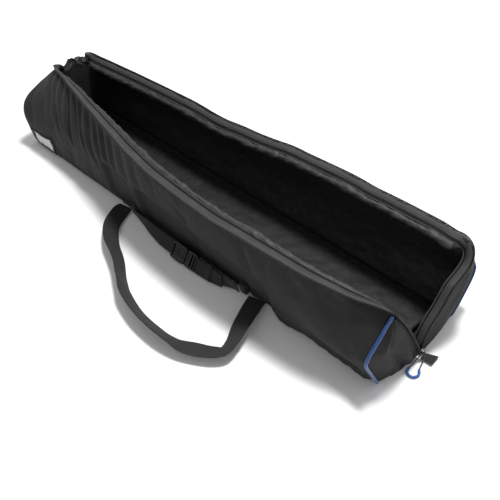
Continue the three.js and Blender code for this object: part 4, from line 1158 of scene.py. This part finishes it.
HANDLE = [
    (-133, -96.4, 6.5, 1, 0, 0), (-131.5, -103, 7.4, 0.98, 0.12, -0.12), (-123.0, -119, 10.0, 0.84, 0.27, -0.47), (-106.4, -146.8, 12.0, 0.88, 0.28, -0.38), (-86.0, -165.6, 15.5, 0.96, 0.12, -0.22),
    (-60.6, -182.4, 18.6, 0.80, 0.35, -0.42), (-33.0, -195.1, 20.7, 0.16, 0.72, -0.66), (-3.7, -209.5, 22.1, -0.12, 0.68, -0.72), (26.4, -227.7, 23.2, -0.23, 0.67, -0.71), (55.0, -244.1, 23.5, -0.30, 0.72, -0.63),
    (84.2, -253.0, 23.0, -0.24, 0.70, -0.67), (111.1, -258.5, 22.8, -0.29, 0.68, -0.67), (148.5, -260.6, 21.5, -0.56, 0.63, -0.53), (170.9, -259.5, 20.2, -0.66, 0.56, -0.50), (185.5, -256.6, 18.6, -0.72, 0.55, -0.42),
    (200.8, -252.0, 16.2, -0.74, 0.62, -0.25), (220.1, -242.5, 15.1, -0.67, 0.73, -0.12), (243.9, -226.2, 14.2, -0.66, 0.70, -0.27), (253.8, -213.1, 14.6, -0.78, 0.47, -0.40), (250.6, -192.0, 16.4, -0.84, 0.26, -0.47),
    (237.8, -162.8, 16.8, -0.95, 0.14, -0.26), (224.0, -131.8, 13.7, -0.99, -0.06, -0.12), (211.5, -104, 8.0, -1, -0.08, 0), (209, -96.4, 6.5, -1, 0, 0)]
BACK_HANDLE = [
    (-150, 96.4, 6.5, 1, 0, 0), (-150.5, 104, 7.2, 1, 0.05, 0), (-155, 130, 8.6, 0.95, -0.15, 0.05), (-150, 160, 10.5, 0.9, -0.4, 0.08), (-126, 188, 12, 0.6, -0.75, 0.12),
    (-90, 204, 12, 0.3, -0.92, 0.16), (-40, 213, 11, 0.08, -0.98, 0.18), (20, 214, 11, 0, -0.98, 0.18), (80, 208, 11, -0.15, -0.97, 0.18), (125, 194, 12, -0.4, -0.88, 0.14),
    (158, 170, 11.5, -0.75, -0.6, 0.1), (170, 142, 9.5, -0.95, -0.25, 0.05), (163, 112, 7.8, -1, 0, 0), (160.3, 103, 7.2, -1, 0, 0), (160, 96.4, 6.5, -1, 0, 0)]
o, hC, hW, hM = ribbon("front_handle_webbing", HANDLE, 30, 2.2, M_WEB, 260, wob=0.8, seed=200)
rigid(o, "front_handle", "webbing", "front_handle")
o, _, _, _ = ribbon("back_handle_webbing", BACK_HANDLE, 30, 2.2, M_WEB, 220, wob=0.6, seed=203)
rigid(o, "back_handle", "webbing", "back_handle")


def patch(name, side, x0, x1, s0, s1, off, th, material, nx=16, ns=8, body="root", slot="webbing", nodes=(), crown=0.0):
    """A piece of webbing or film lying on the side's fabric."""
    xs = np.linspace(x0, x1, nx)[:, None] + 0 * np.linspace(0, 1, ns)[None]
    ss = np.linspace(s0, s1, ns)[None] + 0 * xs
    p, n = on_side(side, xs.ravel(), ss.ravel(), off + th)
    p = p.reshape(nx, ns, 3); n = n.reshape(nx, ns, 3)
    if crown:
        a = np.linspace(-1, 1, nx)[:, None] ** 4; b = np.linspace(-1, 1, ns)[None] ** 4
        p = p - n * (crown * np.clip(a + b, 0, 1))[..., None]
    o = sheet(name, p, th, material, np.stack([ss, xs], 2) if False else np.stack([xs - x0, ss - s0], 2), -n)
    rigid(o, body, slot, *nodes)
    return o


def stitches(name, segs, material, body, side=None, off=1.0, pitch=2.6, slot="webbing", r=0.28):
    """Rows of stitches. segs: lists of (x, s) on a side, or of 3-D points with normals."""
    parts = []
    for seg in segs:
        if side is not None:
            a = np.array(seg, float)
            q = resample(np.concatenate([a, np.zeros((len(a), 1))], 1), max(3, int(np.linalg.norm(a[-1] - a[0]) / 1.0) + 2))
            P, Nn = on_side(side, q[:, 0], q[:, 1], off)
        else:
            P, Nn = seg
        s = length_of(P)
        k = max(2, int(s[-1] / pitch))
        for c in (np.arange(k) + 0.5) * s[-1] / k:
            cen = np.array([np.interp(c, s, P[:, j]) for j in range(3)])
            nr = unit(np.array([np.interp(c, s, Nn[:, j]) for j in range(3)]))
            e = np.array([np.interp(min(c + 0.5, s[-1]), s, P[:, j]) - np.interp(max(c - 0.5, 0), s, P[:, j]) for j in range(3)])
            t = unit(e); b = np.cross(t, nr)
            v = []
            for a_, rr, uo in ((-pitch * 0.37, r * 0.35, -r), (-pitch * 0.18, r, 0.15), (pitch * 0.18, r, 0.15), (pitch * 0.37, r * 0.35, -r)):
                for q_ in range(5):
                    an = q_ * 2 * math.pi / 5
                    v.append(cen + t * a_ + nr * (uo + rr * math.cos(an)) + b * (rr * math.sin(an)))
            fc = [[x * 5 + y, x * 5 + (y + 1) % 5, (x + 1) * 5 + (y + 1) % 5, (x + 1) * 5 + y] for x in range(3) for y in range(5)]
            fc += [[4, 3, 2, 1, 0], [15, 16, 17, 18, 19]]
            parts.append((np.array(v), fc, np.zeros((20, 2))))
    o = join_parts(name, parts, material)
    rigid(o, body, slot)
    return o


# sewn feet of the handles, the seam band between them, their stitching
for side, nm, xs in ((FRONT, "front", (-133, 209)), (BACK, "back", (-150, 160))):
    for tag, x in zip(("far", "near"), xs):
        patch(f"{nm}_foot_{tag}", side, x - 15, x + 15, 2.5, 10.5, 0.2, 1.9, M_WEB, 20, 6, nodes=(f"{nm}_handle_foot_{tag}",), crown=0.5)
        stitches(f"{nm}_foot_{tag}_stitches", [[(x - 13.5, 4.0), (x + 13.5, 4.0)], [(x - 13.5, 9.2), (x + 13.5, 9.2)], [(x - 13.5, 4.2), (x - 13.5, 9)], [(x + 13.5, 4.2), (x + 13.5, 9)],
                 [(x - 13, 4.4), (x + 13, 8.8)], [(x - 13, 8.8), (x + 13, 4.4)]], M_THREAD, "root", side, off=2.15)
patch("front_band", FRONT, -117, 193, 2.5, 9.5, 0.2, 1.5, M_STRAP, 120, 6, nodes=("front_seam_band",), crown=0.4)
stitches("front_band_stitches", [[(-112, 3.8), (190, 3.8)], [(-112, 8.4), (190, 8.4)]], M_THREAD, "root", FRONT, off=1.75)

# ------------------------------------------------------------------ cinch strap and its buckle
so_lo, so_hi = cadbox("buckle_socket"); pl_lo, pl_hi = cadbox("buckle_plug")
SY, SZ = (so_lo[1] + so_hi[1]) / 2, (so_lo[2] + so_hi[2]) / 2
LEAN = np.array([0, 0.5, 0.866])
farRows = [(-90.8, -104.5, 17, 0, -0.3, 0.95), (-70, -107, 17, 0, -0.15, 0.98), (-40, -111, 17, 0, 0.2, 0.97), (-5, -115, 17.1, 0, 0.45, 0.89), (31, SY, SZ, *LEAN)]
nearRows = [(80, SY, SZ, *LEAN), (89, SY, SZ, *LEAN), (115, -115, 17.1, 0, 0.4, 0.92), (140, -112.4, 17, 0, 0.1, 0.99), (162, -109, 17, 0, -0.3, 0.95), (176, -108, 17, 0, -0.3, 0.95)]
o, _, _, _ = ribbon("strap_far_webbing", farRows, 25, 1.7, M_STRAP, 90, seed=210)
rigid(o, "cinch_strap", "webbing", "strap_far_half")
o, _, _, _ = ribbon("strap_near_webbing", nearRows, 25, 1.7, M_STRAP, 70, seed=212)
rigid(o, "strap_plug", "webbing", "strap_near_half")
second = [(84, SY - 2.6, SZ - 1.5, *LEAN), (98, -118.4, 15.6, 0, 0.45, 0.89), (120, -117.4, 15.8, 0, 0.35, 0.93), (146, -114.8, 16.2, 0, 0.05, 0.99)]
o, _, _, _ = ribbon("strap_tail_webbing", second, 25, 1.6, M_STRAP, 50, seed=214)
rigid(o, "strap_plug", "webbing")


def on_frame(P, Q):
    """Buckle coordinates (x along the strap, y across, z out of its face) to the bag's frame."""
    P = np.asarray(P, float)
    return P[:, :1] * [1, 0, 0] + P[:, 1:2] * [0, LEAN[1], LEAN[2]] + P[:, 2:3] * [0, -LEAN[2], LEAN[1]] + Q


def solid_profile(outline, z0, z1, bevel=0.8, holes=(), seg=3):
    """bmesh of an extruded outline with sharp edges; the caller rounds them and cuts holes with boolean boxes
    afterwards. The bevel, holes and seg arguments are not used.
    """
    bm = bmesh.new()
    vs = [bm.verts.new((x, y, z0)) for x, y in outline]
    f = bm.faces.new(vs)
    r = bmesh.ops.extrude_face_region(bm, geom=[f])
    bmesh.ops.translate(bm, verts=[v for v in r["geom"] if isinstance(v, bmesh.types.BMVert)], vec=(0, 0, z1 - z0))
    bmesh.ops.recalc_face_normals(bm, faces=bm.faces)
    return bm


def bm_obj(name, bm, material):
    me = bpy.data.meshes.new(name)
    bm.to_mesh(me); bm.free()
    o = bpy.data.objects.new(name, me)
    bpy.context.scene.collection.objects.link(o)
    o.data.materials.append(material)
    return o


def box_cutter(x0, x1, y0, y1, z0, z1):
    bm = bmesh.new()
    bmesh.ops.create_cube(bm, size=1.0)
    for v in bm.verts:
        v.co = Vector(((x0 + x1) / 2 + v.co.x * (x1 - x0), (y0 + y1) / 2 + v.co.y * (y1 - y0), (z0 + z1) / 2 + v.co.z * (z1 - z0)))
    return bm_obj("cutter", bm, M_BUCKLE)


def apply_all(o):
    """Applies the object's modifiers to its mesh."""
    dg = bpy.context.evaluated_depsgraph_get()
    me = bpy.data.meshes.new_from_object(o.evaluated_get(dg), depsgraph=dg)
    old = o.data
    o.modifiers.clear()
    o.data = me
    if not me.materials: me.materials.append(old.materials[0])
    return o


def boolean(o, cutters, op="DIFFERENCE"):
    for c in cutters:
        m = o.modifiers.new("b", "BOOLEAN"); m.operation = op; m.object = c; m.solver = "EXACT"
    apply_all(o)
    for c in cutters: bpy.data.objects.remove(c, do_unlink=True)
    return o


def bevel(o, width, seg=3, angle=35):
    m = o.modifiers.new("bev", "BEVEL"); m.width = width; m.segments = seg; m.limit_method = "ANGLE"; m.angle_limit = math.radians(angle)
    m.harden_normals = False
    apply_all(o)
    o.data.polygons.foreach_set("use_smooth", [True] * len(o.data.polygons))
    m = o.modifiers.new("wn", "WEIGHTED_NORMAL"); m.keep_sharp = True
    apply_all(o)
    return o


def to_frame(o, Q):
    co = np.array([v.co for v in o.data.vertices], float).reshape(-1, 3)
    w = on_frame(co, Q) * MM
    o.data.vertices.foreach_set("co", w.ravel().astype(np.float32))
    o.data.update()
    return o


Q = np.array([0, SY, SZ])
h = 15.5
soc = bm_obj("buckle_socket_moulding", solid_profile([(28, -12.5), (30, -14.5), (38, -h), (53, -h), (60, -14.8), (62, -13), (62, 13), (60, 14.8), (53, h), (38, h), (30, 14.5), (28, 12.5)], -5, 5), M_BUCKLE)
soc = boolean(soc, [box_cutter(36, 63, -12.4, 12.4, -3.2, 3.2), box_cutter(39, 50, -18, 18, -3.4, 3.4), box_cutter(30.4, 33.6, -11, 11, -6, 6), box_cutter(44, 62.5, -3.6, 3.6, 4.3, 6)])
bevel(soc, 0.55)
rigid(to_frame(soc, Q), "cinch_strap", "black_plastic", "buckle_socket")
plug = bm_obj("buckle_plug_moulding", solid_profile([(63.2, -13), (66, -15), (80, -15), (86, -14), (86, 14), (80, 15), (66, 15), (63.2, 13)], -4, 4), M_BUCKLE)
plug = boolean(plug, [box_cutter(80.5, 83.6, -11.5, 11.5, -6, 6), box_cutter(73.5, 77, -11.5, 11.5, -6, 6)])
arm = lambda y: [(64.5, y * 11.6), (64.5, y * 8), (50, y * 7.8), (44, y * 8), (41, y * 10), (44, y * 11.8), (50, y * 11.9)]
bits = [bm_obj("cutter", solid_profile([(42, -3), (44, -4), (64.5, -4), (64.5, 4), (44, 4), (42, 3)], -2.4, 2.4), M_BUCKLE)]
for y in (-1, 1): bits.append(bm_obj("cutter", solid_profile(arm(y), -2.5, 2.5), M_BUCKLE))
plug = boolean(plug, bits, "UNION")
bevel(plug, 0.5)
rigid(to_frame(plug, Q), "strap_plug", "black_plastic", "buckle_plug")
# elastic keeper round the doubled strap
k_lo, k_hi = cadbox("strap_keeper")
kc = (k_lo + k_hi) / 2
kp = rounded_rect(9.2, 29.4, 3.2, 5); ki = rounded_rect(7.0, 27.2, 2.2, 5)
a3 = np.array([0, -0.9165, 0.4]); b3 = np.array([0, 0.4, 0.9165])
V, F = [], []
for xx in np.linspace(-5, 5, 7):
    pinch = 1 + 0.02 * math.cos(xx)
    for pr in (kp, ki):
        for (p, q_) in pr: V.append(kc + [xx, 0, 0] + a3 * p * pinch + b3 * q_)
m = len(kp)
for i in range(6):
    for j in range(m):
        k = (j + 1) % m
        o_, n_ = i * 2 * m, (i + 1) * 2 * m
        F.append([o_ + j, o_ + k, n_ + k, n_ + j])
        F.append([o_ + m + k, o_ + m + j, n_ + m + j, n_ + m + k])
for i in (0, 6):
    o_ = i * 2 * m
    for j in range(m):
        k = (j + 1) % m
        F.append([o_ + j, o_ + m + j, o_ + m + k, o_ + k])
per = np.linspace(0, 70, m)
uvk = np.array([[ (i // (2 * m)) * 1.7, per[i % m]] for i in range(len(V))])
o = new_obj("strap_keeper_elastic", V, F, M_STRAP, uvk)
rigid(o, "strap_plug", "webbing", "strap_keeper")
# folded ends of the strap, sewn to the side
for tag, x, w in (("far", -98, 13), ("near", 182.5, 13)):
    lo, hi = cadbox(f"strap_foot_{tag}")
    rows_p, th = [], hi[1] - lo[1]
    p, n = on_side(FRONT, x, 17, 0.3)
    n = n[0]; p = p[0]
    upv = unit(np.cross([1, 0, 0], n)); upv = upv if upv[2] > 0 else -upv
    outp = rounded_rect(w, th - 6, 2.2, 4)
    V, F = [], []
    zz = np.linspace(-11.5, 11.5, 15)
    for q_ in zz:
        e = 1 - 0.05 * abs(q_ / 11.5) ** 6
        for (a_, b_) in outp:
            V.append(p + np.array([1, 0, 0]) * a_ * e + n * ((b_ + (th - 6) / 2) * e) + upv * q_)
    m = len(outp)
    for i in range(len(zz) - 1):
        for j in range(m):
            k = (j + 1) % m
            F.append([i * m + j, i * m + k, (i + 1) * m + k, (i + 1) * m + j])
    F += [list(range(m - 1, -1, -1)), [(len(zz) - 1) * m + j for j in range(m)]]
    uvk = np.array([[np.linspace(0, 2 * (w + th), m)[i % m], zz[i // m]] for i in range(len(V))])
    o = new_obj(f"strap_foot_{tag}_fold", V, F, M_STRAP, uvk)
    rigid(o, "root", "webbing", f"strap_foot_{tag}")

# ------------------------------------------------------------------ address window
patch("window_card_paper", FRONT, -426.4, -373.6, 9, 39, 0.25, 0.35, M_CARD, 30, 18, slot="paper_card", nodes=("window_card",))
patch("window_film_sheet", FRONT, -427.5, -372.5, 7.8, 40.2, 1.0, 0.3, M_FILM, 30, 18, slot="clear_film", nodes=("window_film",))


def ring_patch(name, side, x0, x1, s0, s1, w, off, th, material, slot, nodes):
    """A flat frame on the side's fabric."""
    xs = np.concatenate([np.linspace(x0, x0 + w, 4), np.linspace(x0 + w, x1 - w, 24)[1:-1], np.linspace(x1 - w, x1, 4)])
    ss = np.concatenate([np.linspace(s0, s0 + w, 4), np.linspace(s0 + w, s1 - w, 14)[1:-1], np.linspace(s1 - w, s1, 4)])
    X, S = np.meshgrid(xs, ss, indexing="ij")
    nx, ns = X.shape
    top, n = on_side(side, X.ravel(), S.ravel(), off + th)
    bot, _ = on_side(side, X.ravel(), S.ravel(), off)
    k = nx * ns
    V = np.concatenate([top, bot])
    F = []
    inside = lambda i, j: 3 <= i < nx - 4 and 3 <= j < ns - 4
    cells = {(i, j) for i in range(nx - 1) for j in range(ns - 1) if not inside(i, j)}
    idx = lambda i, j: i * ns + j
    for (i, j) in cells:
        q = [idx(i, j), idx(i + 1, j), idx(i + 1, j + 1), idx(i, j + 1)]
        F.append(q); F.append([x + k for x in q[::-1]])
        for (di, dj, a, b) in ((-1, 0, idx(i, j + 1), idx(i, j)), (1, 0, idx(i + 1, j), idx(i + 1, j + 1)), (0, -1, idx(i, j), idx(i + 1, j)), (0, 1, idx(i + 1, j + 1), idx(i, j + 1))):
            if (i + di, j + dj) not in cells: F.append([b, a, a + k, b + k])
    uv = np.concatenate([np.stack([X.ravel(), S.ravel()], 1)] * 2)
    used = sorted({v for f in F for v in f}); mp = {v: i for i, v in enumerate(used)}
    o = new_obj(name, V[used], [[mp[v] for v in f] for f in F], material, uv[used], True)
    return bevel_soft(o, 0.35 * MM) if False else rigid(o, "root", slot, *nodes)


ring_patch("window_frame_vinyl", FRONT, -432, -368, 3.6, 44, 5.2, 0.3, 1.6, M_FRAME, "black_plastic", ("window_frame",))
stitches("window_stitches", [[(-429.6, 6.0), (-370.4, 6.0)], [(-370.4, 6.0), (-370.4, 41.6)], [(-370.4, 41.6), (-429.6, 41.6)], [(-429.6, 41.6), (-429.6, 6.0)]], M_THREAD, "root", FRONT, off=1.95, slot="black_plastic")

# ------------------------------------------------------------------ slider, pull and tab
sl = SL
SX = zs_lo[0]
t_dir = unit(np.array([0, -0.1, 0.995])); y_dir = np.array([0, 0.995, 0.1])


def sframe(P):
    P = np.asarray(P, float)
    return P[:, :1] * y_dir + P[:, 1:2] * t_dir + P[:, 2:3] * np.array([1.0, 0, 0])


s_c = np.array([SX, (zs_lo[1] + zs_hi[1]) / 2, (zs_lo[2] + zs_hi[2]) / 2])
body = bm_obj("slider_body", solid_profile([(-3.6, 6.4), (-4.4, 3.4), (-4.5, 1.0), (-3.0, -5.6), (-1.5, -6.6), (1.5, -6.6), (3.0, -5.6), (4.5, 1.0), (4.4, 3.4), (3.6, 6.4), (1.2, 5), (-1.2, 5)], 0, 1.9), M_METAL)
lid = bm_obj("cutter", solid_profile([(-1.2, -3.0), (1.2, -3.0), (1.2, 5.4), (-1.2, 5.4)], 1.4, 5.6), M_METAL)
body = boolean(body, [lid], "UNION")
body = boolean(body, [box_cutter(-2, 2, -1.7, 4.2, 2.3, 4.7)])
bevel(body, 0.35, 3)
co = np.array([v.co for v in body.data.vertices], float).reshape(-1, 3)
w = sframe(co) + np.array([SX, -8.6, 15.5])
body.data.vertices.foreach_set("co", (w * MM).ravel().astype(np.float32)); body.data.update()
rigid(body, "zip_slider", "zip_metal", "zip_slider")


def tube(name, ctrl, r, material, n=120, sides=12, closed=False, vary=None):
    C = catmull_curve(ctrl, n)
    T = tangents(C)
    # parallel transport
    a = unit(np.cross(T[0], [0.3, 0.2, 1.0])); A = [a]
    for i in range(1, n):
        a = A[-1] - np.dot(A[-1], T[i]) * T[i]
        A.append(unit(a))
    A = np.array(A); B = np.cross(T, A)
    prof = ellipse(r, r, sides)
    return sweep(name, C, A, B, prof, material, vary=vary)


cord = [[476.2, -28.6, 3.0], [473.2, -18.0, 6.0], [470.6, -8.4, 9.0], [468.8, -5.2, 12.2], [466.9, -5.4, 15.0], [466.6, -8.6, 15.6], [466.4, -11.6, 14.6], [464.9, -17.5, 9.6], [463.9, -27.0, 4.6], [463.6, -37.0, 3.0]]
o = tube("pull_cord_braid", cord, 0.85, M_CORD, 140, 10)
rigid(o, "pull_loop", "pull_cord", "pull_cord")
loop = [[464.0, -36.6, 3.0], [464.0, -38.6, 3.0], [465.4, -43.9, 2.8], [470.8, -47.4, 2.6], [477.2, -46.6, 2.5], [481.4, -40.6, 2.6], [480.4, -34.0, 2.8], [477.2, -30.0, 3.0], [476.6, -29.2, 3.0]]
o = tube("pull_tube_blue", loop, 2.0, M_TUBE, 110, 16)
rigid(o, "pull_loop", "blue_tube", "pull_tube")

# end tab: a strip of webbing folded over on itself, cut on the slant
tab = []
nu, nv = 26, 16
Pt = np.empty((nu, nv, 3)); Pb = np.empty((nu, nv, 3))
tl, th_ = cadbox("end_tab")
for i, u in enumerate(np.linspace(0, 1, nu)):
    for j, v in enumerate(np.linspace(0, 1, nv)):
        lerp = lambda a, b, t: a + (b - a) * t
        x = lerp(lerp(465.8, 463.6, v), lerp(485.0, 483.5, v), u); y = lerp(lerp(-10.2, 3.4, v), lerp(-9.6, 12, v), u)
        z = 1.3 + 1.6 * math.sin(u * 1.4)
        edge = min(v, 1 - v, 1.0) * 12
        r = 1.3 * (1 - math.sqrt(max(0, 1 - min(1, edge / 1.3 if edge < 1.3 else 1) ** 2))) if edge < 1.3 else 0
        Pb[i, j] = (x, y, z + 0.0 + (1.3 - math.sqrt(max(0, 1.3 ** 2 - max(0, 1.3 - edge) ** 2))))
        Pt[i, j] = (x, y, z + 2.6 - (1.3 - math.sqrt(max(0, 1.3 ** 2 - max(0, 1.3 - edge) ** 2))) + 0.25 * math.sin(u * 5))
k = nu * nv
V = np.concatenate([Pt.reshape(-1, 3), Pb.reshape(-1, 3)])
F = grid_faces(nu, nv).tolist() + grid_faces(nu, nv, k, True).tolist()
idx = np.arange(k).reshape(nu, nv)
lp = list(idx[:, 0]) + list(idx[-1, 1:]) + list(idx[-2::-1, -1]) + list(idx[0, -2:0:-1])
for i in range(len(lp)):
    a, b = lp[i], lp[(i + 1) % len(lp)]
    F.append([b, a, a + k, b + k])
uvt = np.concatenate([np.stack([np.repeat(np.linspace(0, 18, nu)[:, None], nv, 1), np.repeat(np.linspace(0, 14, nv)[None], nu, 0)], 2).reshape(-1, 2)] * 2)
o = new_obj("end_tab_webbing", V, F, M_STRAP, uvt)
rigid(o, "end_tab", "webbing", "end_tab")

# bottom stop: the CAD's own piece, given a metal finish
zb = frame["nodes"]["zip_bottom_stop"]
zb.data.materials.clear(); zb.data.materials.append(M_METAL)

# ------------------------------------------------------------------ floor, light, camera
bpy.ops.mesh.primitive_plane_add(size=14, location=(0, 0, cad_lo.z - 0.0004))
floor = bpy.context.object
floor.name = "floor"
floor.data.materials.append(floor_mat())

world = bpy.data.worlds.new("studio") if not bpy.context.scene.world else bpy.context.scene.world
bpy.context.scene.world = world
world.use_nodes = True
bg = world.node_tree.nodes.get("Background") or world.node_tree.nodes.new("ShaderNodeBackground")
bg.inputs[0].default_value = (1.0, 1.0, 1.0, 1.0)
bg.inputs[1].default_value = 0.44


def area(name, loc, target, size, energy, color=(1, 1, 1)):
    l = bpy.data.lights.new(name, "AREA")
    l.shape = "RECTANGLE"; l.size, l.size_y = size; l.energy = energy; l.color = color
    o = bpy.data.objects.new(name, l)
    o.location = loc
    o.rotation_mode = "QUATERNION"
    o.rotation_quaternion = (Vector(target) - Vector(loc)).to_track_quat("-Z", "Y")
    bpy.context.scene.collection.objects.link(o)
    return o


area("key", (0.24, 0.30, 2.35), (0.05, 0.0, 0.05), (0.42, 0.40), 58)
area("rim", (0.1, 0.95, 2.2), (0.0, 0.1, 0.1), (2.2, 0.5), 9)
area("fill", (1.3, -1.9, 1.3), (0.1, -0.05, 0.05), (1.6, 1.0), 4)

AZ, EL, DIST, F_PX = 44.81, 41.85, 1.1789, 725.0
a, e = math.radians(AZ), math.radians(EL)
back = Vector((math.sin(a) * math.cos(e), -math.cos(a) * math.cos(e), math.sin(e)))
target = Vector((0.1585, -0.0621, 0.060))
cam = bpy.data.objects.new("camera", bpy.data.cameras.new("camera"))
cam.data.sensor_width = 36.0
cam.data.lens = F_PX / 500.0 * 36.0
cam.rotation_mode = "QUATERNION"
cam.location = target + back * DIST
cam.rotation_quaternion = (-back).to_track_quat("-Z", "Y")
cam.data.clip_start, cam.data.clip_end = 0.02, 30
bpy.context.scene.collection.objects.link(cam)
bpy.context.scene.camera = cam
bpy.context.scene.view_settings.view_transform = "Standard"

import json
